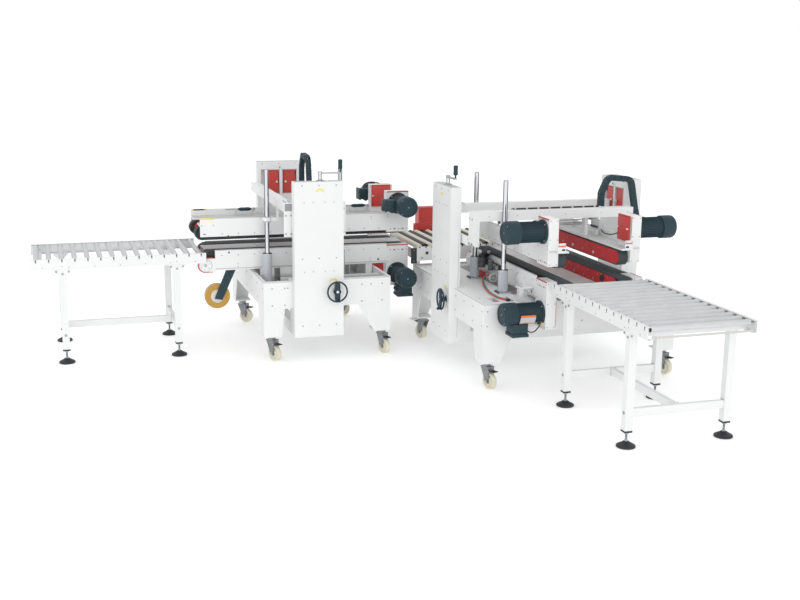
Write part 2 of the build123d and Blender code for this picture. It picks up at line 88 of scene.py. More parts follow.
# ------------------------------------------------------------------ materials
def new_mat(name, base, rough, metal=0.0, spread=0.03, scale=5.0, grain=0.0, grain_scale=700.0,
            stretch=(1, 1, 1), coat=0.0, rough_spread=0.06, specular=0.5):
    """Procedural finish: slow colour drift, fine grain in bump and roughness."""
    m = bpy.data.materials.new(name)
    m.use_nodes = True
    nt = m.node_tree
    b = nt.nodes["Principled BSDF"]
    b.inputs["Metallic"].default_value = metal
    b.inputs["Specular IOR Level"].default_value = specular
    if coat:
        b.inputs["Coat Weight"].default_value = coat
        b.inputs["Coat Roughness"].default_value = 0.15
    tc = nt.nodes.new("ShaderNodeTexCoord")
    mp = nt.nodes.new("ShaderNodeMapping")
    mp.inputs["Scale"].default_value = stretch
    nt.links.new(tc.outputs["Object"], mp.inputs["Vector"])
    n1 = nt.nodes.new("ShaderNodeTexNoise")
    n1.inputs["Scale"].default_value = scale
    n1.inputs["Detail"].default_value = 4.0
    nt.links.new(mp.outputs["Vector"], n1.inputs["Vector"])
    ramp = nt.nodes.new("ShaderNodeValToRGB")
    lo = [max(0.0, c * (1 - spread)) for c in base]
    hi = [min(1.0, c * (1 + spread)) for c in base]
    ramp.color_ramp.elements[0].position, ramp.color_ramp.elements[1].position = 0.3, 0.7
    ramp.color_ramp.elements[0].color = (*lo, 1)
    ramp.color_ramp.elements[1].color = (*hi, 1)
    nt.links.new(n1.outputs["Fac"], ramp.inputs["Fac"])
    nt.links.new(ramp.outputs["Color"], b.inputs["Base Color"])
    n2 = nt.nodes.new("ShaderNodeTexNoise")
    n2.inputs["Scale"].default_value = grain_scale
    n2.inputs["Detail"].default_value = 3.0
    nt.links.new(mp.outputs["Vector"], n2.inputs["Vector"])
    r = nt.nodes.new("ShaderNodeMapRange")
    r.inputs["To Min"].default_value = max(0.03, rough - rough_spread)
    r.inputs["To Max"].default_value = min(1.0, rough + rough_spread)
    nt.links.new(n2.outputs["Fac"], r.inputs["Value"])
    nt.links.new(r.outputs["Result"], b.inputs["Roughness"])
    if grain:
        bump = nt.nodes.new("ShaderNodeBump")
        bump.inputs["Strength"].default_value = grain
        bump.inputs["Distance"].default_value = 0.0006
        nt.links.new(n2.outputs["Fac"], bump.inputs["Height"])
        nt.links.new(bump.outputs["Normal"], b.inputs["Normal"])
    return m


WHITE = new_mat("white_paint_v", (0.82, 0.83, 0.83), 0.42, grain=0.12, spread=0.015)
WARM = new_mat("warm_grey_paint", (0.60, 0.59, 0.57), 0.45, grain=0.12, spread=0.03)
COVER = new_mat("cover_grey", (0.52, 0.53, 0.53), 0.45, grain=0.1, spread=0.03)
SHADE = new_mat("shade_grey", (0.30, 0.31, 0.32), 0.5, grain=0.1, spread=0.05)
RED = new_mat("red_paint_v", (0.56, 0.042, 0.050), 0.42, grain=0.1, spread=0.06, specular=0.35)
RED_HI = new_mat("red_guard_paint", (0.56, 0.055, 0.045), 0.4, grain=0.1, spread=0.05)
NAVY = new_mat("blue_black_enamel", (0.024, 0.050, 0.064), 0.48, grain=0.15, spread=0.1, specular=0.25)
BLACK = new_mat("black_moulded", (0.018, 0.021, 0.025), 0.45, grain=0.25, spread=0.15, grain_scale=420)
RUBBER = new_mat("belt_rubber", (0.055, 0.072, 0.078), 0.72, grain=0.6, spread=0.12, grain_scale=380)
RUBBER_R = new_mat("belt_rubber_rib", (0.13, 0.16, 0.17), 0.75, grain=0.5, spread=0.1, grain_scale=380)
ZINC = new_mat("zinc_tube", (0.63, 0.645, 0.655), 0.48, metal=0.35, grain=0.15, spread=0.05, scale=9, stretch=(1, 1, 1))
STEEL = new_mat("machined_steel", (0.45, 0.46, 0.47), 0.3, metal=0.9, grain=0.12, spread=0.08)
CHROME = new_mat("polished_chrome", (0.72, 0.73, 0.75), 0.1, metal=1.0, spread=0.03, rough_spread=0.04)
STAINLESS = new_mat("brushed_stainless", (0.46, 0.46, 0.46), 0.34, metal=0.7, grain=0.3, spread=0.07, scale=14,
                    grain_scale=160, stretch=(0.3, 6, 6))
CREAM = new_mat("cream_plastic", (0.78, 0.75, 0.62), 0.45, grain=0.1, spread=0.04)
CREAM_W = new_mat("cream_polyurethane", (0.72, 0.69, 0.55), 0.5, grain=0.2, spread=0.06)
AMBER = new_mat("amber_tape_roll", (0.50, 0.27, 0.025), 0.3, grain=0.4, spread=0.12, grain_scale=900,
                stretch=(1, 0.02, 1), coat=0.4)
CARD = new_mat("tape_core_card", (0.74, 0.72, 0.66), 0.8, grain=0.4, spread=0.05)
FORK = new_mat("fork_zinc", (0.25, 0.26, 0.275), 0.42, metal=0.45, grain=0.2, spread=0.1, scale=20)
SOCKET = new_mat("socket_blue_grey", (0.50, 0.53, 0.57), 0.42, grain=0.1, spread=0.04)
YELLOW = new_mat("yellow_strip", (0.86, 0.70, 0.03), 0.45, grain=0.1, spread=0.05)
ORANGE = new_mat("orange_strip", (0.72, 0.20, 0.05), 0.45, grain=0.1, spread=0.05)
GREEN = new_mat("pale_green_stud", (0.62, 0.74, 0.62), 0.4, grain=0.1, spread=0.05)
TEAL = new_mat("teal_fitting", (0.04, 0.30, 0.32), 0.35, grain=0.1, spread=0.08)
# near-black for dark parts, and painted shade standing in for holes, slots and gaps that are not cut
DARK_AND_PAINTED_SHADE = new_mat("dark_parts_and_painted_recess_shade", (0.035, 0.043, 0.048), 0.7, grain=0.1, spread=0.2)
FLOOR = new_mat("pale_floor", (0.93, 0.93, 0.93), 0.85, spread=0.008, scale=1.5, specular=0.2)
FLOOR.node_tree.nodes["Principled BSDF"].inputs["Emission Color"].default_value = (1.0, 1.0, 1.0, 1.0)
FLOOR.node_tree.nodes["Principled BSDF"].inputs["Emission Strength"].default_value = 0.25

HOSE_R = new_mat("red_hose", (0.62, 0.06, 0.05), 0.35, grain=0.1, spread=0.05)

# painted reflection: the polished rods' base colour is darkened towards their edges, standing in for dark reflections
# there
nt = CHROME.node_tree
painted_reflection_facing = nt.nodes.new("ShaderNodeLayerWeight")
painted_reflection_facing.inputs["Blend"].default_value = 0.5
edge = nt.nodes.new("ShaderNodeValToRGB")
edge.color_ramp.elements[0].position, edge.color_ramp.elements[1].position = 0.13, 0.34
edge.color_ramp.elements[0].color, edge.color_ramp.elements[1].color = (1, 1, 1, 1), (0.13, 0.15, 0.18, 1)
painted_reflection_mix = nt.nodes.new("ShaderNodeMix")
painted_reflection_mix.data_type, painted_reflection_mix.blend_type = "RGBA", "MULTIPLY"
painted_reflection_mix.inputs[0].default_value = 1.0
old = [l for l in nt.links if l.to_socket.name == "Base Color"][0]
src = old.from_socket
nt.links.remove(old)
nt.links.new(painted_reflection_facing.outputs["Facing"], edge.inputs["Fac"])
nt.links.new(src, painted_reflection_mix.inputs[6])
nt.links.new(edge.outputs["Color"], painted_reflection_mix.inputs[7])
nt.links.new(painted_reflection_mix.outputs[2], nt.nodes["Principled BSDF"].inputs["Base Color"])


# ------------------------------------------------------------------ building helpers
class Fr:
    """A piece's own directions: u along it, v to its far side, z up; millimetres in, row frame out."""

    def __init__(self, x, y, xd, base=None):
        self.x = Vector((xd[0], xd[1], 0)).normalized()
        self.y = Vector((-self.x.y, self.x.x, 0))
        if base is None:
            self.o = Vector(((x - 2140) / 1000, (y + 923) / 1000, 0))
        else:
            self.o = base.p(x, y, 0)

    def p(self, u, v, z):
        return self.o + self.x * (u / 1000) + self.y * (v / 1000) + Vector((0, 0, z / 1000))


T1 = Fr(0, 0, (1, 0))
T2 = Fr(3227, -1714, (0, -1))
M1 = Fr(2080, 354, (1, 0))
M2 = Fr(3581, -687, (0, -1))
TR = Fr(2811, -17, (1, 0))


class Piece:
    def __init__(self, name):
        self.name, self.bm, self.mats = name, bmesh.new(), []

    def mi(self, mat):
        if mat not in self.mats:
            self.mats.append(mat)
        return self.mats.index(mat)

    def add(self, co, faces, mat, bevel=0.0, seg=2):
        k = self.mi(mat)
        if bevel > 0:
            t = bmesh.new()
            vs = [t.verts.new(c) for c in co]
            for f in faces:
                t.faces.new([vs[i] for i in f])
            bmesh.ops.recalc_face_normals(t, faces=t.faces)
            edges = [e for e in t.edges if e.calc_face_angle(0) > math.radians(30)]
            bmesh.ops.bevel(t, geom=edges, offset=bevel / 1000, segments=seg, profile=0.5, affect="EDGES",
                            clamp_overlap=True)
            t.verts.index_update()
            co = [v.co.copy() for v in t.verts]
            faces = [[v.index for v in f.verts] for f in t.faces]
            t.free()
        vs = [self.bm.verts.new(c) for c in co]
        for f in faces:
            try:
                nf = self.bm.faces.new([vs[i] for i in f])
            except ValueError:
                continue
            nf.material_index = k
            nf.smooth = True

    def prism(self, fr, axis, pts, a, b, mat, bevel=0.0, seg=2):
        """pts are (v,z), (u,z) or (u,v) for axis u, v or z; extruded from a to b."""
        def w(p, d):
            return fr.p(d, *p) if axis == "u" else fr.p(p[0], d, p[1]) if axis == "v" else fr.p(*p, d)
        n = len(pts)
        co = [w(p, a) for p in pts] + [w(p, b) for p in pts]
        faces = [list(range(n)), list(range(2 * n - 1, n - 1, -1))]
        faces += [[i, (i + 1) % n, n + (i + 1) % n, n + i] for i in range(n)]
        self.add(co, faces, mat, bevel, seg)

    def box(self, fr, u0, u1, v0, v1, z0, z1, mat, bevel=1.2, seg=2):
        self.prism(fr, "z", [(u0, v0), (u1, v0), (u1, v1), (u0, v1)], z0, z1, mat, bevel, seg)

    def rbox(self, fr, axis, a0, a1, b0, b1, r, d0, d1, mat, bevel=1.0, n=6):
        """Plate with rounded corners in the plane across axis."""
        pts = []
        for cx, cy, s in ((a1 - r, b1 - r, 0), (a0 + r, b1 - r, 90), (a0 + r, b0 + r, 180), (a1 - r, b0 + r, 270)):
            for i in range(n + 1):
                t = math.radians(s + 90 * i / n)
                pts.append((cx + r * math.cos(t), cy + r * math.sin(t)))
        self.prism(fr, axis, pts, d0, d1, mat, bevel)

    def cyl(self, fr, axis, c, r, a, b, mat, n=28, bevel=0.0, seg=2, turn=0.0):
        """c is (u, v, z); the number along the axis isn't used. Runs from a to b."""
        u, v, z = c
        k = {"u": (v, z), "v": (u, z), "z": (u, v)}[axis]
        pts = [(k[0] + r * math.cos(2 * math.pi * i / n + turn), k[1] + r * math.sin(2 * math.pi * i / n + turn))
               for i in range(n)]
        self.prism(fr, axis, pts, a, b, mat, bevel, seg)

    def lathe(self, fr, axis, c, profile, mat, n=40, close=False):
        """profile is (radius, place along the axis); close joins its ends."""
        u, v, z = c
        rings, co = [], []

        def w(a, b, h):
            return fr.p(h, a, b) if axis == "u" else fr.p(a, h, b) if axis == "v" else fr.p(a, b, h)
        ca, cb = {"u": (v, z), "v": (u, z), "z": (u, v)}[axis]
        for r, h in profile:
            if r < 1e-6:
                rings.append([len(co)])
                co.append(w(ca, cb, h))
            else:
                rings.append(list(range(len(co), len(co) + n)))
                co += [w(ca + r * math.cos(2 * math.pi * i / n), cb + r * math.sin(2 * math.pi * i / n), h)
                       for i in range(n)]
        pairs = list(zip(rings, rings[1:])) + ([(rings[-1], rings[0])] if close else [])
        faces = []
        for p, q in pairs:
            for i in range(n):
                j = (i + 1) % n
                if len(p) == 1 and len(q) == 1:
                    break
                if len(p) == 1:
                    faces.append([p[0], q[i], q[j]])
                elif len(q) == 1:
                    faces.append([p[i], p[j], q[0]])
                else:
                    faces.append([p[i], p[j], q[j], q[i]])
        self.add(co, faces, mat)

    def sweep(self, pts, r, mat, n=8, cap=True):
        """Tube along points in the row frame, radius r in millimetres."""
        pts = [Vector(p) for p in pts]
        r = r / 1000
        t0 = (pts[1] - pts[0]).normalized()
        side = t0.cross(Vector((0, 0, 1)))
        side = side.normalized() if side.length > 1e-3 else t0.orthogonal().normalized()
        co, rings = [], []
        for i, p in enumerate(pts):
            a, b = pts[max(0, i - 1)], pts[min(len(pts) - 1, i + 1)]
            t = (b - a).normalized()
            side = (side - t * side.dot(t)).normalized()
            q = t.cross(side)
            rings.append(list(range(len(co), len(co) + n)))
            co += [p + side * (r * math.cos(2 * math.pi * k / n)) + q * (r * math.sin(2 * math.pi * k / n))
                   for k in range(n)]
        faces = [[a[i], a[(i + 1) % n], b[(i + 1) % n], b[i]] for a, b in zip(rings, rings[1:]) for i in range(n)]
        if cap:
            faces += [rings[0][::-1], rings[-1]]
        self.add(co, faces, mat)

    def bolt(self, fr, axis, c, out, r=6.5, h=4.5, mat=None, washer=True):
        """Hexagon head with its washer, standing out of a face at c along +-axis."""
        k = {"u": 0, "v": 1, "z": 2}[axis]
        base = c[k]
        if washer:
            self.cyl(fr, axis, c, r * 1.45, base - out * 0.5, base + out * 1.2, mat or STEEL, n=18)
        self.cyl(fr, axis, c, r, base + out * 1.0, base + out * (1.2 + h), mat or STEEL, n=6, bevel=0.6, seg=1)

    def screw(self, fr, axis, c, out, r=4.5, mat=None):
        """Low round head with its recessed socket."""
        k = {"u": 0, "v": 1, "z": 2}[axis]
        b = c[k]
        self.lathe(fr, axis, c, [(r, b - out * 0.5), (r, b + out * 1.2), (r * 0.75, b + out * 2.4), (r * 0.45, b + out * 2.5),
                                 (r * 0.45, b + out * 1.2), (0, b + out * 1.2)], mat or STEEL, n=14)

    def done(self, body, replaces=()):
        bmesh.ops.recalc_face_normals(self.bm, faces=self.bm.faces)
        for e in self.bm.edges:
            e.smooth = e.calc_face_angle(3.14) < math.radians(32)
        me = bpy.data.meshes.new(self.name)
        self.bm.to_mesh(me)
        self.bm.free()
        for m in self.mats:
            me.materials.append(m)
        o = bpy.data.objects.new(self.name, me)
        scene.collection.objects.link(o)
        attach(o, body)
        if replaces:
            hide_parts(*replaces)
        return o


def free_cord(name, pts, dia, mat, body):
    """One cord that sags between two points of the object; pts are its control points, in metres."""
    cu = bpy.data.curves.new(name, "CURVE")
    cu.dimensions = "3D"
    sp = cu.splines.new("NURBS")
    sp.points.add(len(pts) - 1)
    for q, (x, y, z) in zip(sp.points, pts):
        q.co = (x, y, z, 1)
    sp.order_u = 3
    sp.use_endpoint_u = True
    cu.bevel_depth = dia / 2
    cu.bevel_resolution = 4
    cu.resolution_u = 10
    cu.materials.append(mat)
    ob = bpy.data.objects.new(name, cu)
    scene.collection.objects.link(ob)
    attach(ob, body)


# ------------------------------------------------------------------ CAD nodes that stay
FINISH = {
    "infeed_rails": WHITE, "outfeed_rails": WHITE, "infeed_legs": WHITE, "outfeed_legs": WHITE,
    "transfer_frame": WHITE, "transfer_guard": RED_HI, "guide_rods": CHROME, "slide_plates": STAINLESS,
    "lower_red_plates": RED, "m1_reel_arm": NAVY, "m2_tape_head": BLACK, "column_doors": RED_HI,
}
for t in ("m1_", "m2_"):
    FINISH.update({t + "base": WHITE, t + "legs": WHITE, t + "columns": WHITE, t + "head_beams": WHITE,
                   t + "upper_housings": WHITE, t + "lower_housings": WHITE, t + "upper_red_plates": RED})
    for c in "abcd":
        FINISH[t + "caster_" + c + "_fork"] = FORK
for name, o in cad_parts.items():
    o.data.materials.clear()
    o.data.materials.append(FINISH.get(name, WHITE))
    if "custom_normal" in o.data.attributes:
        o.data.attributes.remove(o.data.attributes["custom_normal"])
    for f in o.data.polygons:
        f.use_smooth = True
    w = o.modifiers.new("weld", "WELD")
    w.merge_threshold = 0.00001
    b = o.modifiers.new("bevel", "BEVEL")
    b.width = 0.0016
    b.segments = 2
    b.limit_method = "ANGLE"
    b.angle_limit = math.radians(40)
    b.harden_normals = True

# ------------------------------------------------------------------ roller tables
PITCH, W = 90, 709
LEG_X = (180, 990)


def table(tag, t):
    p = Piece(tag + "_rollers_v")
    for i in range(14):
        x = PITCH * i
        prof = [(12, 38), (16.5, 38), (16.8, 34), (18.6, 33), (19, 34.5)]
        prof += [(19, W - 34.5), (18.6, W - 33), (16.8, W - 34), (16.5, W - 38), (12, W - 38)]
        p.lathe(t, "v", (x, 0, 752), prof, ZINC, n=36)
        for y0, s in ((33, 1), (W - 33, -1)):
            p.lathe(t, "v", (x, 0, 752), [(16.6, y0 + s * 5), (16.6, y0 + s * 1.5), (12.5, y0), (8.5, y0), (8.5, y0 - s * 5),
                                          (5.6, y0 - s * 5)], BLACK, n=24)
        p.cyl(t, "v", (x, 0, 752), 5.6, 4.2, W - 4.2, STEEL, n=6)
    p.done("frame", [tag + "_rollers"])

    p = Piece(tag + "_rail_details")
    for i in range(14):
        x = PITCH * i
        for y, s in ((0, -1), (W, 1)):
            # dark slot plates: painted shade standing in for the axle slots in the rails
            p.rbox(t, "v", x - 4.5, x + 4.5, 747, 771.2, 4, y - s * 2, y + s * 0.35, DARK_AND_PAINTED_SHADE, bevel=0)
            p.cyl(t, "v", (x, 0, 752), 6.2, y - s * 2, y + s * 1.2, STEEL, n=6)
            if i % 2 == 0:
                p.screw(t, "v", (x + 45, y, 712), s, r=4)
    for x0, s in ((-36, -1), (1206, 1)):                    # end channel between the rails
        p.box(t, x0 - s * 3, x0 - s * 1, 26, W - 26, 702, 716, WARM, bevel=0.5)
    for x in LEG_X:
        for y, s in ((0, -1), (W, 1)):
            for dx in (-44, 0, 44):
                p.bolt(t, "v", (x + dx, y, 680 if dx else 664), s, r=6)
            p.bolt(t, "v", (x, y, 210), s, r=7)
            p.cyl(t, "v", (x, 0, 720), 4, y - s * 2, y + s * 1.5, STEEL, n=12)
    p.done("frame", [])

    p = Piece(tag + "_leg_details")
    for x in LEG_X:
        for yc in (25, W - 25):
            p.rbox(t, "z", x - 26.5, x + 26.5, yc - 26.5, yc + 26.5, 5, 92, 104, BLACK, bevel=1.5)
            for s in (-1, 1):                               # brace plates
                p.box(t, x - 15, x + 15, yc + s * 0 + (25 if yc < 100 else -25) - 1.5,
                      yc + (25 if yc < 100 else -25) + 1.5, 182, 238, WARM, bevel=1)
    for y in (W / 2 - 15, W / 2 + 15):
        p.box(t, LEG_X[0] + 15, LEG_X[0] + 18, y - 4, y + 4, 180, 240, WARM, bevel=0.8)
        p.box(t, LEG_X[1] - 18, LEG_X[1] - 15, y - 4, y + 4, 180, 240, WARM, bevel=0.8)
    p.done("frame", [])


table("infeed", T1)
table("outfeed", T2)

p = Piece("levelling_feet")
for t in (T1, T2):
    for x in LEG_X:
        for yc in (25, W - 25):
            p.lathe(t, "z", (x, yc, 0), [(0, 0), (55, 0), (58, 3), (58, 9), (55, 13), (46, 18), (30, 26), (20, 34),
                                         (14, 36), (0, 36)], BLACK, n=36)
            prof = [(9, 34)]
            z = 36.0
            while z < 92:                                   # thread
                prof += [(7.8, z), (6.6, z + 1.5)]
                z += 3.0
            prof += [(7, 96)]
            p.lathe(t, "z", (x, yc, 0), prof, STEEL, n=16)
            p.cyl(t, "z", (x, yc, 0), 14, 80, 91, STEEL, n=6, bevel=1)
            p.cyl(t, "z", (x, yc, 0), 12, 35, 43, STEEL, n=6, bevel=1)
p.done("frame", ["table_feet"])


# ------------------------------------------------------------------ sealers
K = {
    "m1": dict(fr=M1, base_u=(-514, 450), base_v=(-704, 704), col_u=(-300, 65), col_v=-784, far=(640, 720), top=1330,
               hand_u=7, hand_z=528, crank=(-100, -744), rods=(-430, 130), rod_v=-430, rod_z=470, slide_v=(-136, 44), slide_z=764,
               beams=((-355, -290), (38, 104)), head_v=(-690, 632), upper_u=-910, up_belt=-940, lower_u=-804,
               low_belt=-880, gear_u=(530, 708), near_v=-324, far_v=198, arch=(-6, 210),
               arch_line=[(-150, 1060), (-128, 1140), (-84, 1408), (100, 1424), (150, 1314), (150, 1130)],
               slots=[(-491, -310, -680, 680), (75, 427, -680, 680), (-310, 75, -600, 560)], depth=130),
    "m2": dict(fr=M2, base_u=(-757, 750), base_v=(-735, 735), col_u=(-187, 193), col_v=-778, far=(593, 720), top=1318,
               hand_u=142, hand_z=512, crank=(20, -738), rods=(-113, 433), rod_v=-466, rod_z=600, slide_v=(-178, -18), slide_z=757,
               beams=((-90, -25), (323, 403)), head_v=(-690, 580), upper_u=-500, up_belt=-530, lower_u=-440,
               low_belt=-560, gear_u=(771, 941), near_v=-368, far_v=310, arch=(253, 500),
               arch_line=[(-150, 1130), (-150, 1262), (-100, 1372), (84, 1356), (128, 1140), (150, 1060)],
               slots=[(560, 700, -640, -590), (560, 700, -540, -490), (-600, 500, -420, 420)], depth=60),
}


def motor(p, m, u, v0, z, out, box_u, box_z):
    """Flange with four bolts, finned body, fan cowl with pressed rings on its end, terminal box with glands."""
    def V(d):
        return v0 + out * d
    p.lathe(m, "v", (u, 0, z), [(0, V(0)), (80.5, V(0)), (82, V(1.5)), (82, V(12)), (80, V(14)), (68, V(15)), (66, V(22)),
                                (66, V(186)), (72, V(188)), (0, V(190))], NAVY, n=48)
    for i in range(4):
        a = math.radians(45 + 90 * i)
        p.bolt(m, "v", (u + 72 * math.cos(a), V(13), z + 72 * math.sin(a)), out, r=6, h=5)
    nf = 30
    for i in range(nf):                                     # cooling fins
        a = 2 * math.pi * (i + 0.5) / nf
        if box_u and abs(math.atan2(math.sin(a), math.cos(a) * box_u)) < 0.62:
            continue
        if box_z and math.cos(a - math.radians(90 * box_z)) > 0.78:
            continue
        ca, sa = math.cos(a), math.sin(a)
        r0, r1, h = 64, 70.6, 1.9
        pts = [(u + r0 * ca - h * sa, z + r0 * sa + h * ca), (u + r1 * ca - h * 0.7 * sa, z + r1 * sa + h * 0.7 * ca),
               (u + r1 * ca + h * 0.7 * sa, z + r1 * sa - h * 0.7 * ca), (u + r0 * ca + h * sa, z + r0 * sa - h * ca)]
        p.prism(m, "v", pts, V(20), V(184), NAVY)
    cowl = [(66, V(182)), (76, V(184)), (78, V(188)), (78, V(262)), (75, V(275)), (66, V(284)), (60, V(285)),
            (59, V(281)), (0, V(280))]
    p.lathe(m, "v", (u, 0, z), cowl, NAVY, n=48)
    for r in (30, 50):                                      # pressed rings on the cowl's end
        p.lathe(m, "v", (u, 0, z), [(r - 1.5, V(279.5)), (r - 1, V(281.2)), (r + 1, V(281.2)), (r + 1.5, V(279.5))], NAVY, n=40)
    p.cyl(m, "v", (u, 0, z), 5, V(280), V(282), SHADE, n=20)
    for i in range(4):
        a = math.radians(45 + 90 * i)
        p.screw(m, "v", (u + 70 * math.cos(a), V(279), z + 70 * math.sin(a)), out, r=3.5)
    c = V(105)
    if box_u:
        s = box_u
        p.box(m, u + s * 60, u + s * 130, c - 48, c + 48, z - 42, z + 42, NAVY, bevel=3)
        p.box(m, u + s * 130, u + s * 149, c - 52, c + 52, z - 46, z + 46, NAVY, bevel=3)
        for a in (-44, 44):
            for b in (-38, 38):
                p.screw(m, "u", (u + s * 148, c + a, z + b), s, r=3.5)
        for a in (-22, 22):
            p.cyl(m, "z", (u + s * 84, c + a, 0), 11, z - 58, z - 41, BLACK, n=6, bevel=1)
    if box_z:
        s = box_z
        c = V(165)
        p.box(m, u - 57, u + 57, c - 55, c + 55, z + s * 60, z + s * 128, NAVY, bevel=3)
        p.box(m, u - 62, u + 62, c - 60, c + 60, z + s * 128, z + s * 149, NAVY, bevel=3)
        for a in (-52, 52):
            for b in (-50, 50):
                p.screw(m, "z", (u + a, c + b, z + s * 148), s, r=3.5)
        for a in (-24, 24):
            p.cyl(m, "u", (0, c + a, z + s * 92), 11, u - 70, u - 56, BLACK, n=6, bevel=1)
    p.cyl(m, "z", (u, V(60), 0), 9, z + 66, z + 74, NAVY, n=20, bevel=1)


def belt(p, m, u0, u1, v, z0, z1, w, ribs, out):
    """Closed belt with raised cross ribs, drums with hubs. out is not used."""
    h = z1 - z0
    zc = (z0 + z1) / 2
    R = h / 2
    c0, c1 = u0 + R, u1 - R
    straight, arc = c1 - c0, math.pi * R
    total = 2 * straight + 2 * arc

    def at(s, r):
        s %= total
        if s < straight:
            return (c0 + s, zc + r)
        s -= straight
        if s < arc:
            a = math.pi / 2 - s / R
            return (c1 + r * math.cos(a), zc + r * math.sin(a))
        s -= arc
        if s < straight:
            return (c1 - s, zc - r)
        s -= straight
        a = -math.pi / 2 - s / R
        return (c0 + r * math.cos(a), zc + r * math.sin(a))
    n = int(total / ribs)
    step = total / n
    outer, inner = [], []
    for i in range(n):
        for f, d in ((0.0, 0.0), (0.55, 0.0), (0.62, -1.8), (0.93, -1.8)):
            outer.append(at((i + f) * step, R + d))
            inner.append(at((i + f) * step, R - 6.5))
    k = len(outer)
    co = []
    for pts, vv in ((outer, v), (outer, v + w), (inner, v), (inner, v + w)):
        co += [m.p(a, vv, b) for a, b in pts]
    faces = []
    for i in range(k):
        j = (i + 1) % k
        faces += [[i, j, k + j, k + i], [2 * k + i, 3 * k + i, 3 * k + j, 2 * k + j],
                  [i, 2 * k + i, 2 * k + j, j], [k + i, k + j, 3 * k + j, 3 * k + i]]
    p.add(co, faces, RUBBER)
    for c in (c0, c1):
        rr = R - 6.5
        p.lathe(m, "v", (c, 0, zc), [(0, v + 2), (10, v + 2), (10, v + 5), (rr - 12, v + 5), (rr - 8, v + 2), (rr, v + 2),
                                     (rr, v + w - 2), (rr - 8, v + w - 2), (rr - 12, v + w - 5), (10, v + w - 5),
                                     (10, v + w - 2), (0, v + w - 2)], BLACK, n=32)


def wheel(name, tag, m, u, v, turn):
    a = math.radians(turn)
    d = m.x * math.cos(a) + m.y * math.sin(a)
    c = Fr(u, v, (d.x, d.y), base=m)
    R, h = 57.5, 18
    p = Piece(name + "_wheel_v")
    tread = [(41, -13), (44, -16.5), (50, -h), (54, -h + 1), (56.6, -h + 4), (57.4, -h + 9), (57.5, 0), (57.4, h - 9),
             (56.6, h - 4), (54, h - 1), (50, h), (44, 16.5), (41, 13)]
    p.lathe(c, "v", (34, 0, R), tread, CREAM_W, n=48)
    p.lathe(c, "v", (34, 0, R), [(41.5, -13), (38, -8), (22, -8), (18, -17.5), (6.5, -17.5), (6.5, 17.5), (18, 17.5), (22, 8),
                                 (38, 8), (41.5, 13)], CREAM, n=40)
    for i in range(6):                                      # hub ribs
        t = math.radians(60 * i)
        for s in (-1, 1):
            ca, sa = math.cos(t), math.sin(t)
            pts = [(34 + 17 * ca - 2 * sa, R + 17 * sa + 2 * ca), (34 + 39 * ca - 2 * sa, R + 39 * sa + 2 * ca),
                   (34 + 39 * ca + 2 * sa, R + 39 * sa - 2 * ca), (34 + 17 * ca + 2 * sa, R + 17 * sa - 2 * ca)]
            p.prism(c, "v", pts, s * 7, s * 12, CREAM)
    p.done(name + "_wheel", [name + "_wheel"])

    p = Piece(name + "_fork_details")
    p.lathe(c, "z", (0, 0, 0), [(27, 157.5), (29.5, 159), (29.5, 164), (26, 166), (26, 169), (30, 171), (30, 176), (27, 177.8)],
            STEEL, n=32)
    p.bolt(c, "v", (34, 32, R), 1, r=9, h=5)
    p.bolt(c, "v", (34, -32, R), -1, r=9, h=5)
    for i in range(5):                                      # tread lines on the brake pedal
        p.box(c, 56 + 8 * i, 59 + 8 * i, -18, 18, 133, 134.6, BLACK, bevel=0.4)
    p.box(c, 50, 97, -21, 21, 129, 133.4, BLACK, bevel=1.2)
    p.cyl(c, "v", (40, 0, 128), 5, -29.5, 29.5, STEEL, n=14)
    p.done(name + "_fork", [])


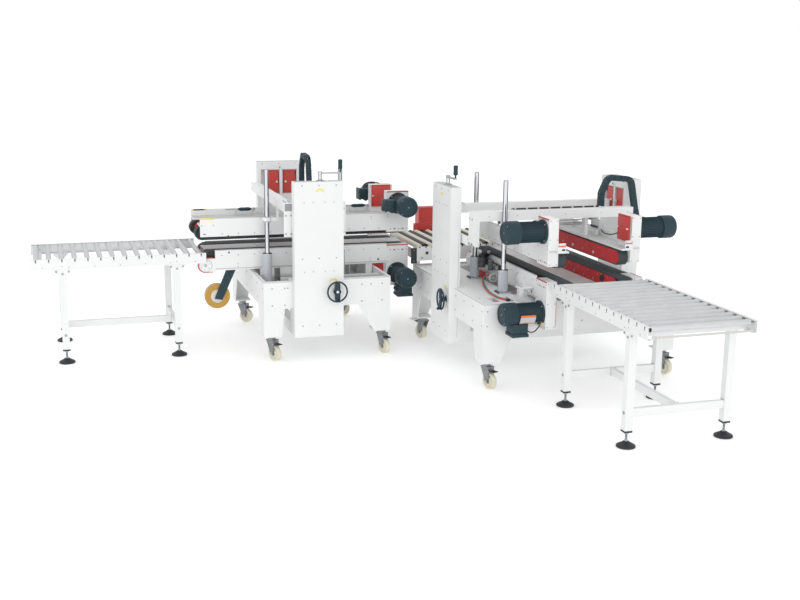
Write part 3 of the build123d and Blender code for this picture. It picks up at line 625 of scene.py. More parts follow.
def sealer(tag):
    k = K[tag]
    m = k["fr"]
    hu0, hu1 = k["base_u"]
    vn, vf = k["base_v"]
    cu0, cu1 = k["col_u"]
    cv = k["col_v"]
    cw = cu1 - cu0
    tz = k["top"]
    g0, g1 = k["gear_u"]
    gm = (g0 + g1) / 2
    no, fo = k["near_v"], k["far_v"]
    lo = fo + 32
    head = tag + "_head"

    # ---- motors
    p = Piece(tag + "_upper_motors_v")
    motor(p, m, gm, no, 1096, -1, -1, 0)
    motor(p, m, gm, fo, 1096, 1, -1, 0)
    p.done(head, [tag + "_upper_motors"])
    p = Piece(tag + "_lower_motors_v")
    motor(p, m, gm, no, 548, -1, 0, -1)
    motor(p, m, gm, lo, 548, 1, 0, -1)
    p.done("frame", [tag + "_lower_motors"])

    # ---- belts
    end = g1 - 20
    p = Piece(tag + "_upper_belts_v")
    for va, o in ((no + 78, -1), (fo - 142, 1)):
        belt(p, m, k["up_belt"], end, va, 850, 956, 64, 12, o)
    p.done(head, [tag + "_upper_belts"])

    # ---- handwheel: rim, a bar across it, hub and turning grip
    p = Piece(tag + "_handwheel_v")
    hu = k["hand_u"]
    hz = k["hand_z"]
    rim = [(73 + 6.4 * math.cos(t), cv - 45 + 6.4 * math.sin(t)) for t in [2 * math.pi * i / 14 for i in range(14)]]
    p.lathe(m, "v", (hu, 0, hz), rim, NAVY, n=56, close=True)
    p.lathe(m, "v", (hu, 0, hz), [(26, cv - 50), (27, cv - 40), (20, cv - 30), (17, cv - 8), (12.3, cv - 6), (12.3, cv + 38),
                                   (0, cv + 38)], NAVY, n=36)
    p.lathe(m, "v", (hu, 0, hz), [(0, cv - 55.5), (9, cv - 55.5), (10.5, cv - 54), (10.5, cv - 48)], CHROME, n=28)
    p.rbox(m, "v", hu - 20, hu + 20, hz - 68, hz + 68, 14, cv - 51.5, cv - 40, NAVY, bevel=2)
    p.lathe(m, "v", (hu + 8, 0, hz - 66), [(0, cv - 76), (6, cv - 75.5), (9, cv - 73), (10, cv - 68), (9, cv - 60),
                                           (9.5, cv - 55), (7, cv - 52), (4, cv - 51), (4, cv - 44)], BLACK, n=24)
    p.done(tag + "_handwheel", [tag + "_handwheel"])

    # ---- crank: shaft, arm with rounded ends, turning grip
    cr_u, cr_v = k["crank"]
    p = Piece(tag + "_crank_v")
    p.lathe(m, "z", (cr_u, cr_v, 0), [(0, tz - 38), (12.3, tz - 38), (12.3, tz + 46), (16, tz + 48), (16, tz + 66), (13, tz + 69),
                                      (0, tz + 70)], CHROME, n=30)
    arm = []
    for i in range(13):
        t = math.radians(90 + 180 * i / 12)
        arm.append((cr_u + 11 * math.cos(t), cr_v + 11 * math.sin(t)))
    for i in range(13):
        t = math.radians(-90 + 180 * i / 12)
        arm.append((cr_u + 150 + 9 * math.cos(t), cr_v + 9 * math.sin(t)))
    p.prism(m, "z", arm, tz + 52, tz + 64, STEEL, bevel=1.5)
    p.lathe(m, "z", (cr_u + 150, cr_v, 0), [(6, tz + 60), (6, tz + 84), (13, tz + 85), (15.6, tz + 89), (16, tz + 98),
                                            (15.2, tz + 118), (16, tz + 138), (15.5, tz + 149), (11, tz + 153.4),
                                            (0, tz + 154)], NAVY, n=28)
    p.done(tag + "_crank", [tag + "_crank"])

    # ---- cable chain: hinged links along the arch, with the cables inside it
    au, av = k["arch"]
    ctrl = k["arch_line"]
    path = []
    n = len(ctrl)
    for i, c in enumerate(ctrl):                            # rounded corners, radius about 50
        if i in (0, n - 1):
            path.append(Vector(c))
            continue
        a, b, d = Vector(ctrl[i - 1]), Vector(c), Vector(ctrl[i + 1])
        e, f = (a - b).normalized(), (d - b).normalized()
        half = math.acos(max(-1, min(1, e.dot(f)))) / 2
        t = min(50 / math.tan(half), 0.48 * min((a - b).length, (d - b).length))
        r = t * math.tan(half)
        centre = b + (e + f).normalized() * math.hypot(r, t)
        s0, s1 = b + e * t - centre, b + f * t - centre
        ang = s0.angle_signed(s1)
        for j in range(9):
            rot = Matrix.Rotation(-ang * j / 8, 2)
            path.append(centre + rot @ s0)
    seg = [0.0]
    for a, b in zip(path, path[1:]):
        seg.append(seg[-1] + (b - a).length)

    def along(s):
        s = max(0, min(seg[-1] - 1e-6, s))
        i = max(j for j in range(len(seg) - 1) if seg[j] <= s)
        f = (s - seg[i]) / (seg[i + 1] - seg[i])
        q = path[i].lerp(path[i + 1], f)
        return q, (path[i + 1] - path[i]).normalized()
    p = Piece(tag + "_cable_chain")
    links = int(seg[-1] / 26)
    L = seg[-1] / links
    for i in range(links):
        q, t = along((i + 0.5) * L)
        nrm = Vector((-t.y, t.x))
        inset = 0 if i % 2 else 3.2

        def oriented(l0, l1, h0, h1):
            return [(av + (q + t * l + nrm * h).x, (q + t * l + nrm * h).y)
                    for l, h in ((l0, h0), (l1, h0), (l1, h1), (l0, h1))]
        for u0, s in ((au + inset, 1), (au + 40 - inset, -1)):
            p.prism(m, "u", oriented(-L / 2 - 3, L / 2 + 3, -19, 19), u0, u0 + s * 3, NAVY, bevel=0.8, seg=1)
            p.cyl(m, "u", (0, av + (q - t * (L / 2)).x, (q - t * (L / 2)).y), 5.5, u0 + s * 0.4, u0 - s * 0.7, NAVY, n=12)
        for h0, h1 in ((-20.5, -17.5), (17.5, 20.5)):
            p.prism(m, "u", oriented(-L * 0.46, L * 0.46, h0, h1), au + 1, au + 39, NAVY, bevel=0.8, seg=1)
    for du, dh, mat, r in ((10, -6, NAVY, 5.5), (20, 2, SHADE, 6.5), (30, -4, BLACK, 5), (15, 9, WARM, 3.5), (27, 9, NAVY, 4)):
        run = []
        for i in range(61):
            q, t = along(seg[-1] * i / 60)
            nrm = Vector((-t.y, t.x))
            run.append(m.p(au + du, av + (q + nrm * dh).x, (q + nrm * dh).y))
        p.sweep(run, r, mat, n=8)
    p.box(m, au + 38, k["beams"][1][0], av - 170, av - 130, 1131, 1137, STEEL, bevel=1)
    p.box(m, au + 38, au + 44, av - 168, av - 132, 1128, 1165, STEEL, bevel=1)
    for dv in (-158, -142):
        p.bolt(m, "z", (au + 50, av + dv, 1137), 1, r=4)
    p.done(head, [tag + "_cable_arch"])

    # ---- head details
    (a0, a1), (b0, b1) = k["beams"]
    hv0, hv1 = k["head_v"]
    p = Piece(tag + "_head_details")
    for v, s in ((hv0, -1), (hv1, 1)):                      # upstream tube: grey plates at its open ends, painted shade of the tube's inside
        p.box(m, a0 + 6, a1 - 6, v - s * 2, v + s * 0.4, 1112, 1166, SHADE, bevel=0)
    for dv in (20, 60, 100):
        p.bolt(m, "z", (a0 + 16, hv0 + dv, 1172), 1, r=5)
        p.bolt(m, "z", (a1 - 16, hv0 + dv, 1172), 1, r=5)
    for u in (a0 + 14, a1 - 14):
        for z in (946, 1080):
            p.bolt(m, "v", (u, hv0, z), -1, r=5)
    for u in (b0 + 14, b1 - 14):
        for z in (946, 1120):
            p.bolt(m, "v", (u, hv0, z), -1, r=5)
    for z in (942, 968):
        for u in (a1 + 12, b0 - 12):
            p.screw(m, "v", (u, hv0, z), -1, r=4)
    for u in k["rods"]:                                     # clamp collars and their screws
        p.lathe(m, "z", (u, k["rod_v"], 0), [(18, 1034), (31, 1034), (31.8, 1035.5), (30, 1038), (24, 1040), (18, 1040)], SOCKET, n=32)
        p.lathe(m, "z", (u, k["rod_v"], 0), [(18, 1000), (24, 1000), (30, 1003), (32.2, 1006), (32.2, 1010)], SOCKET, n=32)
        for t in range(3):
            a = math.radians(120 * t + 40)
            p.screw(m, "z", (u + 25 * math.cos(a), k["rod_v"] + 25 * math.sin(a), 1038), 1, r=3.2)
    for u in (b0, b1):                                      # folded lips along the downstream portal
        s = -1 if u == b0 else 1
        for v in (hv0 + 120, hv0 + 330, hv0 + 700, hv0 + 980, 500):
            p.screw(m, "u", (u, v, 1137), s, r=4)
    for v in (hv0 + 180, hv0 + 420, hv0 + 860, 470):
        p.screw(m, "z", ((b0 + b1) / 2, v, 1170), 1, r=4)
    p.done(head, [])

    # ---- upper housings: trim, screws, marks and the noses at the outfeed end
    p = Piece(tag + "_upper_details")
    nu0 = k["upper_u"]
    for vo, s, near in ((no, -1, True), (fo, 1, False)):
        # red trim on the gearbox top, marks and screws on its outer face
        p.box(m, g0 + 2, g1 - 2, vo + s * 1 - (4 if s > 0 else 0), vo + s * 1 + (0 if s > 0 else 4), 1186, 1189.5, RED_HI, bevel=0.5)
        p.box(m, g0 + 2, g1 - 2, vo - s * 5, vo + s * 0.8, 1180, 1186, RED_HI, bevel=0.5)
        span = (g1 - g0)
        for i, f in enumerate((0.18, 0.37, 0.56, 0.74, 0.92)):
            u = g0 + span * f
            if i % 2 == 0:
                p.screw(m, "v", (u, vo, 895), s, r=4.5, mat=SHADE)
            else:
                pts = [(u + 11 * math.cos(math.radians(a)), 891 + 11 * math.sin(math.radians(a))) for a in range(0, 181, 20)]
                p.prism(m, "v", pts, vo - s * 1, vo + s * 1.2, SHADE)
        for u in (g0 + 10, g1 - 10):
            for z in (1010, 1178, 990):
                p.screw(m, "v", (u, vo, z), s, r=4)
        for u in (g0, g1):
            t = -1 if u == g0 else 1
            for z in (885, 1050, 1176):
                for vv in (vo - s * 12, vo - s * 62):
                    if not (t > 0 and 960 < z < 1046):
                        p.screw(m, "u", (u, vv, z), t, r=4)
        # side plate: row of studs, two dark discs painted as the shade of holes, and thin edge lines
        u = nu0 + 40
        while u < g0 - 20:
            p.screw(m, "v", (u, vo, 906), s, r=5)
            u += 122
        for u in (nu0 + 14, nu0 + 98):
            p.screw(m, "v", (u, vo, 971), s, r=5)
        if g0 - 124 > nu0:
            for z in (980, 996):
                p.screw(m, "v", (g0 - 124, vo, z), s, r=4)
        p.box(m, nu0 + 3, g0 - 2, vo - s * 0.4, vo + s * 0.8, 1019, 1024, COVER, bevel=0.3)
        # dark discs: painted shade standing in for holes
        p.cyl(m, "v", (nu0 + 208, 0, 887), 7, vo - s * 2, vo + s * 0.5, DARK_AND_PAINTED_SHADE, n=18)
        p.cyl(m, "v", (nu0 + 28, 0, 907), 5, vo - s * 2, vo + s * 0.5, DARK_AND_PAINTED_SHADE, n=18)
        # cover strip: grey sheet with screws
        va, vb = sorted((vo - s * 8, vo - s * 145))
        p.box(m, nu0 + 2, g1 + 13, va, vb, 972.6, 974.2, COVER, bevel=0.4)
        for u in range(int(nu0) + 40, int(g0), 180):
            for vv in (va + 12, vb - 12):
                p.screw(m, "z", (u, vv, 974), 1, r=3.5)
    # noses at the outfeed end: strip, and a dark plate on the tab painted as the shade of its slot
    for vo, s in ((no, 1), (fo, -1)):
        a, b = sorted((vo + s * 66, vo + s * 120))
        p.box(m, g1 + 12, g1 + 14.8, a, b, 1004, 1014, ORANGE, bevel=0.3)
        c = vo + s * 104
        p.rbox(m, "u", c - 12, c + 12, 978, 990, 5, g1 + 12, g1 + 14.6, DARK_AND_PAINTED_SHADE, bevel=0)
        for vv in (vo + s * 70, vo + s * 113):
            p.screw(m, "u", (g1 + 14, vv, 1021), 1, r=3.5)
    p.done(head, [])

    # ---- red plates of the upper belts: studs, and the guard with two knobs
    p = Piece(tag + "_upper_red_details")
    for va, s in ((no + 78, 1), (fo - 142, -1)):
        v = va + 68 if s > 0 else va - 4
        for u in range(int(k["up_belt"]) + 120, int(g1) - 110, 160):
            p.lathe(m, "v", (u, 0, 884), [(10, v - s * 1), (10, v + s * 1.6), (6, v + s * 2.6), (0, v + s * 2.6)], GREEN if (u // 160) % 2 else STEEL, n=20)
            p.screw(m, "v", (u + 70, v, 926), s, r=4)
    gv = fo - 88
    for u in (g0 + 14, g1 - 22):
        p.lathe(m, "v", (u, 0, 1100), [(5, gv + 1), (5, gv - 3), (3, gv - 3.5), (3, gv - 5), (5.5, gv - 6), (6, gv - 9), (5.4, gv - 11),
                                       (0, gv - 12)], WHITE, n=24)
    p.box(m, g0 + 6.5, g1 - 14.5, gv - 0.6, gv + 1, 1014.5, 1187.5, RED_HI, bevel=0.4)
    p.box(m, g0 + 8, g1 - 16, gv - 1.6, gv, 1178, 1186, RED, bevel=0.5)
    p.box(m, g0 + 8, g0 + 14, gv - 1.6, gv, 1018, 1184, RED, bevel=0.5)
    p.done(head, [])

    # ---- black outer faces of the upper belts' side plates
    p = Piece(tag + "_upper_belt_covers")
    for va, s in ((no + 78 - 4, -1), (fo - 142 + 68, 1)):
        r0, r1 = k["up_belt"] + 39.5, g1 - 27.5
        R = 45.5
        pts = [(r1 - R + R * math.cos(math.radians(t)), 903 + R * math.sin(math.radians(t))) for t in range(-90, 91, 12)]
        pts += [(r0 + R + R * math.cos(math.radians(t)), 903 + R * math.sin(math.radians(t))) for t in range(90, 271, 12)]
        c0, c1 = sorted((va + s * 0.9, va - s * 4.5 if s < 0 else va - 0.5))
        if s < 0:
            c0, c1 = va - 0.9, va + 3.6
        else:
            c0, c1 = va + 0.4, va + 4.9
        p.prism(m, "v", pts, c0, c1, BLACK, bevel=0.6)
    p.done(head, [])

    # ---- the head's small fittings: duct on the beam, valve block with its lead, sensor handles
    p = Piece(tag + "_head_fittings")
    d0 = b0 + 3
    p.box(m, d0, d0 + 17, -374, 300, 1170, 1180.5, BLACK, bevel=1.5)
    for i in range(8):
        v = -350 + 88 * i
        p.box(m, d0 - 1.2, d0 + 18.2, v - 7, v + 7, 1169.8, 1181.6, COVER, bevel=0.6)
    for v in (-380, 306):
        p.box(m, d0 - 1, d0 + 26, v - 7, v + 9, 1170, 1177, WARM, bevel=1)
    if tag == "m2":
        p.box(m, b1 - 6, b1 + 118, 214, 256, 1034, 1096, COVER, bevel=2)
        p.box(m, b1 - 60, b1 + 8, 218, 252, 1084, 1104.5, SHADE, bevel=1)
        for i in range(4):
            p.cyl(m, "v", (b1 + 12 + 28 * i, 0, 1052), 8, 206, 215, NAVY, n=16, bevel=0.8)
            p.cyl(m, "z", (b1 + 12 + 28 * i, 226, 0), 6, 1095, 1101, TEAL, n=6, bevel=0.5)
        lead = [m.p(b1 + 110, 236, 1040), m.p(b1 + 122, 236, 1027), m.p(b1 + 160, 237, 1016), m.p(b1 + 240, 238, 1018),
                m.p(b1 + 320, 240, 1038), m.p(g0 - 6, 242, 1060), m.p(g0 + 4, 242, 1064)]
        free_cord("m2_head_lead", lead, 0.0084, BLACK, head)
        p.box(m, 222, 238, 244, 256, 973, 1076, WARM, bevel=1)
        for z in (1034, 1047, 1067):
            p.cyl(m, "v", (230, 0, z), 5, 45, 262, STEEL, n=16, bevel=0.8)
    spots = ((-554, -448, -654, fo - 92), (362, 481, 318, fo - 92)) if tag == "m1" else ((-60, 62, -170, no + 68),)
    for ua, ub, rod, v in spots:
        z = 1026
        prof = [(0, ua - 2), (5, ua), (9, ua + 6), (13.5, ua + 16), (14.5, ua + 34), (13, ua + 50), (14.5, ua + 66), (14, ub - 22),
                (10, ub - 8), (6, ub - 2), (0, ub)]
        p.lathe(m, "u", (0, v, z), prof, NAVY, n=24)
        p.cyl(m, "u", (0, v, z), 3.2, rod, ua + 4, SHADE, n=12)
        p.cyl(m, "u", (0, v, z), 3.2, ub - 4, ub + 30, SHADE, n=12)
        p.lathe(m, "u", (0, v, z), [(9, ub + 14), (12, ub + 15), (12, ub + 24), (9, ub + 25)], STEEL, n=24, close=True)
        for x in (ua - 16, ub + 8):
            p.box(m, x - 4, x + 4, v - 7, v + 7, 973, 1030, WARM, bevel=1)
    for vo, s in ((no, -1), (fo, 1)):                       # thin red edge lines and the end marks in yellow
        v_in = vo - s * 74
        a, b = sorted((v_in, v_in + s * 3))
        p.box(m, g1 - 3, g1 + 0.8, a, b, 1040, 1186, RED_HI, bevel=0.3)
        p.box(m, g0 + 4, g1 - 2, min(vo, vo - s * 3), max(vo, vo - s * 3), 871.2, 873, RED_HI, bevel=0.3)
        if tag == "m1":
            f0 = no - 0.9 if s < 0 else fo - 6.9
            p.box(m, nu0 + 4, nu0 + 104, f0, f0 + 3, 1014.5, 1024.8, YELLOW, bevel=0.4)
            if s > 0:
                p.box(m, nu0 + 20, nu0 + 126, f0, f0 + 3, 1014.5, 1024.8, YELLOW, bevel=0.4)
    p.done(head, [])

    # ---- lower housings
    p = Piece(tag + "_lower_details")
    lu0 = k["lower_u"]
    for vo, s in ((no, -1), (lo, 1)):
        for i, f in enumerate((0.18, 0.37, 0.56, 0.74, 0.92)):
            u = g0 + (g1 - g0) * f
            if i % 2 == 0:
                p.screw(m, "v", (u, vo, 730), s, r=4.5, mat=SHADE)
            else:
                pts = [(u + 11 * math.cos(math.radians(a)), 724 + 11 * math.sin(math.radians(a))) for a in range(0, 181, 20)]
                p.prism(m, "v", pts, vo - s * 1, vo + s * 1.2, SHADE)
        p.box(m, g0 + 2, g1 - 2, vo - s * 5, vo + s * 0.8, 762, 769.5, RED_HI, bevel=0.5)
        for u in (g0 + 10, g1 - 10):
            for z in (458, 640, 750):
                p.screw(m, "v", (u, vo, z), s, r=4)
        for u, t in ((g0, -1), (g1, 1)):
            for z in (462, 620, 756):
                for vv in (vo - s * 12, vo - s * 62):
                    p.screw(m, "u", (u, vv, z), t, r=4)
        u = lu0 + 52
        while u < g0 - 20:
            p.screw(m, "v", (u, vo, 743), s, r=5)
            u += 122
        for u in (lu0 + 170, g0 - 130):
            for z in (675, 655):
                p.screw(m, "v", (u, vo, z), s, r=4)
        # dark discs: painted shade standing in for holes
        p.cyl(m, "v", (g0 - 66, 0, 660), 8, vo - s * 2, vo + s * 0.5, DARK_AND_PAINTED_SHADE, n=20)
        zt = 785 if s < 0 else 764
        p.cyl(m, "v", (lu0 + 104, 0, zt - 22), 7, vo - s * 2, vo + s * 0.5, DARK_AND_PAINTED_SHADE, n=20)
        p.box(m, lu0 + 3, g0 - 2, vo - s * 0.4, vo + s * 0.8, zt - 6, zt, COVER, bevel=0.3)
        p.box(m, lu0 + 3, g0 - 2, vo - s * 0.4, vo + s * 0.8, 640, 646, COVER, bevel=0.3)
    # half-round end cover of the near unit: rim, hub and screws
    uc = lu0 - 71
    vv = no + 6
    p.lathe(m, "v", (uc, 0, 670), [(50, vv + 2), (50, vv - 1.2), (46, vv - 1.2), (45, vv + 0.5)], COVER, n=48)
    p.lathe(m, "v", (uc, 0, 670), [(0, vv - 4), (9, vv - 4), (10, vv - 3), (10, vv + 1)], STEEL, n=24)
    for i in range(6):
        a = math.radians(60 * i + 20)
        p.screw(m, "v", (uc + 34 * math.cos(a), vv, 670 + 34 * math.sin(a)), -1, r=3.5)
    p.done("frame", [])

    # ---- column faces: screws, door outline, arc marks
    p = Piece(tag + "_column_details")
    for f in (0.16, 0.5, 0.85):
        u = cu0 + cw * f
        for z in (tz - 26, 774, 275):
            p.screw(m, "v", (u, cv, z), -1, r=5.5)
    for f in (0.20, 0.38, 0.62, 0.80):
        for z in (1182, 677):
            p.screw(m, "v", (cu0 + cw * f, cv, z), -1, r=3.6, mat=SHADE)
    for uc2, zc2, r in ((cu0 + cw * 0.52, tz - 87, 36), (k["hand_u"] - 20, k["hand_z"] + 58, 36)):
        pts = []
        for i in range(13):
            t = math.radians(25 + 130 * i / 12)
            pts.append((uc2 + r * math.cos(t), zc2 + r * math.sin(t)))
        for i in range(13):
            t = math.radians(155 - 130 * i / 12)
            pts.append((uc2 + (r - 9) * math.cos(t), zc2 + (r - 9) * math.sin(t)))
        p.prism(m, "v", pts, cv - 0.9, cv + 0.5, YELLOW)
    # top caps and bearing plates
    for v0, v1, z in ((cv, cv + 80, tz), (k["far"][0], k["far"][1], 1340)):
        p.box(m, cu0 + 4, cu1 - 4, v0 + 4, v1 - 4, z - 0.5, z + 0.8, COVER, bevel=0.3)
        for u in (cu0 + 18, cu1 - 18):
            p.screw(m, "z", (u, (v0 + v1) / 2, z + 0.5), 1, r=4.5)
    cr_u, cr_v = k["crank"]
    p.lathe(m, "z", (cr_u, cr_v, 0), [(12.6, tz), (30, tz), (30, tz + 6), (24, tz + 10), (15, tz + 12), (12.8, tz + 12)], STEEL, n=32)
    for i in range(4):
        a = math.radians(45 + 90 * i)
        p.screw(m, "z", (cr_u + 24 * math.cos(a), cr_v + 24 * math.sin(a), tz + 6), 1, r=2.5)
    p.lathe(m, "v", (k["hand_u"], 0, k["hand_z"]), [(12.8, cv - 5), (20, cv - 5), (26, cv - 3), (27, cv + 1)], STEEL, n=32)
    for z0, z1 in ((230, 420), (430, 1000)):                # panel lines down the narrow sides
        for u, s in ((cu0, -1), (cu1, 1)):
            p.box(m, u - 0.6, u + 0.6, cv + 66, cv + 68, z0, z1, SHADE, bevel=0)
    # far mast: recess frame, hinges, lock knobs, a small hook on the top edge
    fi = k["far"][0]
    for a, b in ((33, 187), (212, 332)):
        u0, u1 = cu0 + a / 365 * cw, cu0 + b / 365 * cw
        for x in (u0, u1):
            p.box(m, x - 3, x + 3, fi - 1.5, fi + 2, 1071, 1276, COVER, bevel=0.5)
        for z in (1074, 1273):
            p.box(m, u0 - 3, u1 + 3, fi - 1.5, fi + 2, z - 3, z + 3, COVER, bevel=0.5)
    for a, b in ((80, 180), (223, 323)):
        u0, u1 = cu0 + a / 365 * cw, cu0 + b / 365 * cw
        for z in (1105, 1240):
            p.cyl(m, "z", (u0 if a < 100 else u1, fi + 9, 0), 4.5, z - 14, z + 14, BLACK, n=14, bevel=0.8)
        kn = cu0 + (163 if a < 100 else 238) / 365 * cw
        p.lathe(m, "v", (kn, 0, 1172), [(5, fi + 8), (5, fi - 1), (8.5, fi - 3), (8.5, fi - 8), (0, fi - 9)], CREAM, n=22)
        p.box(m, u0 + 4, u1 - 4, fi + 7.2, fi + 8.2, 1078, 1082, RED, bevel=0.3)
    p.sweep([m.p(cu0 + cw * 0.52, fi - 1, 1290), m.p(cu0 + cw * 0.52, fi - 12, 1289), m.p(cu0 + cw * 0.52, fi - 14, 1296),
             m.p(cu0 + cw * 0.52, fi - 10, 1302)], 2.5, BLACK)
    for f in (0.12, 0.5, 0.88):
        p.screw(m, "v", (cu0 + cw * f, fi, 1322), -1, r=4.5)
    p.done("frame", [])

    # ---- body: folded edges, bolts, tray lips
    p = Piece(tag + "_body_details")
    for v, s in ((vn, -1), (vf, 1)):
        free = []
        if (v == vn and cv + 80 > vn) or v == vf:
            free = [(hu0, cu0), (cu1, hu1)]
        else:
            free = [(hu0, hu1)]
        for a, b in free:
            p.box(m, a + 2, b - 2, v - s * 0.5, v + s * 0.7, 592, 598, COVER, bevel=0.2)
            if tag == "m1" and s < 0:                       # near face: as many as the photograph shows
                near = ((-452, 548), (-358, 548), (-336, 548), (-452, 422), (-358, 422), (227, 548), (298, 548),
                        (384, 548), (227, 421), (383, 421))
                for u, z in near:
                    if a < u < b:
                        p.screw(m, "v", (u, v, z), s, r=6)
                continue
            step = max(1, round((b - a) / 210))
            for i in range(step + 1):
                u = a + 26 + (b - a - 52) * i / step
                for z in (548, 446):
                    if tag == "m2" and s > 0:
                        p.cyl(m, "v", (u, 0, z), 5.5, v - 1, v + 0.2, SHADE, n=16)
                    else:
                        p.screw(m, "v", (u, v, z), s, r=5.5)
    for u, s in ((hu0, -1), (hu1, 1)):
        p.box(m, u - s * 0.5, u + s * 0.7, vn + 2, vf - 2, 592, 598, COVER, bevel=0.2)
        for i in range(7):
            v = vn + 30 + (vf - vn - 60) * i / 6
            for z in (548, 446):
                p.screw(m, "u", (u, v, z), s, r=5.5)
    for a, b, c, d in k["slots"]:                           # turned-down lips
        p.box(m, a, b, c, c + 2, 600 - k["depth"] + 1, 600.8, COVER, bevel=0.4)
        p.box(m, a, b, d - 2, d, 600 - k["depth"] + 1, 600.8, COVER, bevel=0.4)
    for a in (0.12, 0.88):                                  # deck screws
        for b in (0.03, 0.97):
            p.screw(m, "z", (hu0 + (hu1 - hu0) * a, vn + (vf - vn) * b, 600), 1, r=5)
    p.done("frame", [])

    # ---- legs: levelling plates, gusset bolts
    p = Piece(tag + "_leg_details")
    for su, ue in ((1, hu0), (-1, hu1)):
        for sv, ve in ((1, vn), (-1, vf)):
            p.box(m, ue + su * 22, ue + su * 108, ve + sv * 22, ve + sv * 108, 178.5, 184.5, STEEL, bevel=1)
            for du in (30, 100):
                for dv in (30, 100):
                    p.bolt(m, "z", (ue + su * du, ve + sv * dv, 184), -1, r=5, h=3.5, washer=False)
    p.done("frame", [])

    # ---- rod sockets: base plates with bolts
    p = Piece(tag + "_rod_details")
    for u in k["rods"]:
        v, z = k["rod_v"], k["rod_z"] + 12
        for du in (-36, 36):
            for dv in (-36, 36):
                p.bolt(m, "z", (u + du, v + dv, z), 1, r=4.5, h=3.5)
        p.lathe(m, "z", (u, v, 0), [(35.2, z), (38, z + 2), (38, z + 10), (35.3, z + 13)], SOCKET, n=36)
        p.lathe(m, "z", (u, v, 0), [(17.2, 765), (30, 765), (35.5, 762), (35.6, 752), (35.3, 748)], SOCKET, n=36)
        p.lathe(m, "z", (u, v, 0), [(35.0, z + 5), (35.4, z + 5), (35.4, 760), (35.0, 760)], SOCKET, n=36)
        p.lathe(m, "z", (u, v, 0), [(0, 1391.0), (15, 1391.0), (17.2, 1388.5), (17.3, 1384)], STEEL, n=24)
    p.done("frame", [])


C1 = {"m1_caster_a": (-448, -644, 300), "m1_caster_b": (400, -644, 290),
      "m1_caster_c": (-448, 609, 317), "m1_caster_d": (400, 600, 20)}
C2 = {"m2_caster_a": (692, -677, 20), "m2_caster_b": (-692, -660, 200),
      "m2_caster_c": (692, 677, 20), "m2_caster_d": (-692, 677, 200)}
for tag in ("m1", "m2"):
    sealer(tag)
for n, (u, v, t) in C1.items():
    wheel(n, "m1", M1, u, v, t)
for n, (u, v, t) in C2.items():
    wheel(n, "m2", M2, u, v, t)

# lower belts of both sealers
p = Piece("lower_belts_v")
for tag in ("m1", "m2"):
    k = K[tag]
    m = k["fr"]
    no, lo = k["near_v"], k["far_v"] + 32
    for va, o in ((no + 78, -1), (lo - 174, 1)):
        belt(p, m, k["low_belt"], k["gear_u"][1] + 12, va, 660, 766, 96, 11, o)
p.done("frame", ["lower_belts"])

# studs on the lower red plates
p = Piece("lower_red_details")
for tag in ("m1", "m2"):
    k = K[tag]
    m = k["fr"]
    no, lo = k["near_v"], k["far_v"] + 32
    for va, s in ((no + 78 + 100, 1), (lo - 174 - 4, -1)):
        for i, u in enumerate(range(int(k["low_belt"]) + 80, int(k["gear_u"][1]) - 110, 150)):
            p.lathe(m, "v", (u, 0, 700), [(10, va - s * 1), (10, va + s * 1.6), (6, va + s * 2.6), (0, va + s * 2.6)], STEEL, n=20)
            p.screw(m, "v", (u + 60, va, 740), s, r=4)
# round bump with its pale arc on the far plate of the second sealer
bv = K["m2"]["far_v"] + 32 - 178
p.lathe(M2, "v", (704, 0, 728), [(27, bv + 1), (27, bv - 8), (21, bv - 15), (10, bv - 19), (0, bv - 20)], BLACK, n=36)
pts = [(704 + 33 * math.cos(math.radians(t)), 728 + 33 * math.sin(math.radians(t))) for t in range(110, 251, 10)]
pts += [(704 + 27 * math.cos(math.radians(t)), 728 + 27 * math.sin(math.radians(t))) for t in range(250, 109, -10)]
p.prism(M2, "v", pts, bv - 1.5, bv + 0.5, YELLOW)
for tag in ("m1", "m2"):                                    # black outer faces, thin red edge lines on the gearboxes
    k = K[tag]
    m = k["fr"]
    g0, g1 = k["gear_u"]
    no, lo = k["near_v"], k["far_v"] + 32
    r0, r1, R = k["low_belt"] + 7.5, g1 - 36.5, 45.5
    for c0, c1 in ((no + 78 - 4.9, no + 78 - 0.4), (lo - 78 + 0.4, lo - 78 + 4.9)):
        pts = [(r1 - R + R * math.cos(math.radians(t)), 713 + R * math.sin(math.radians(t))) for t in range(-90, 91, 12)]
        pts += [(r0 + R + R * math.cos(math.radians(t)), 713 + R * math.sin(math.radians(t))) for t in range(90, 271, 12)]
        p.prism(m, "v", pts, c0, c1, BLACK, bevel=0.6)
    for vo, s in ((no, -1), (lo, 1)):
        v_in = vo - s * 74
        p.box(m, g1 - 3, g1 + 0.8, min(v_in, v_in + s * 3), max(v_in, v_in + s * 3), 462, 640, RED_HI, bevel=0.3)
        p.box(m, g0 + 4, g1 - 2, min(vo, vo - s * 4), max(vo, vo - s * 4), 446.6, 449, RED_HI, bevel=0.3)
for tag in ("m1", "m2"):                                    # dark strips beside the far belts: painted shadow of the side plates in the gap, with screws on them
    k = K[tag]
    lo = k["far_v"] + 32
    p.box(k["fr"], k["low_belt"] + 50, k["gear_u"][0] - 4, lo - 76, lo - 9, 757, 760, DARK_AND_PAINTED_SHADE, bevel=0.6)
    for u in range(int(k["low_belt"]) + 90, int(k["gear_u"][0]) - 40, 210):
        p.screw(k["fr"], "z", (u, lo - 40, 760), 1, r=3.5)
p.done("frame", [])

# slide plates: screws, dark panel joints
p = Piece("slide_details")
for tag in ("m1", "m2"):
    k = K[tag]
    m = k["fr"]
    a, b = k["slide_v"]
    z = k["slide_z"]
    u0, u1 = k["lower_u"] - 60, k["gear_u"][1] + 5
    for u in range(int(u0) + 30, int(u1), 190):
        for v in (a + 14, b - 14):
            p.screw(m, "z", (u, v, z), 1, r=3.5)
    for u in range(int(u0) + 420, int(u1) - 60, 420):
        p.box(m, u - 0.7, u + 0.7, a + 1, b - 1, z - 1, z + 0.35, DARK_AND_PAINTED_SHADE, bevel=0)
p.done("frame", [])

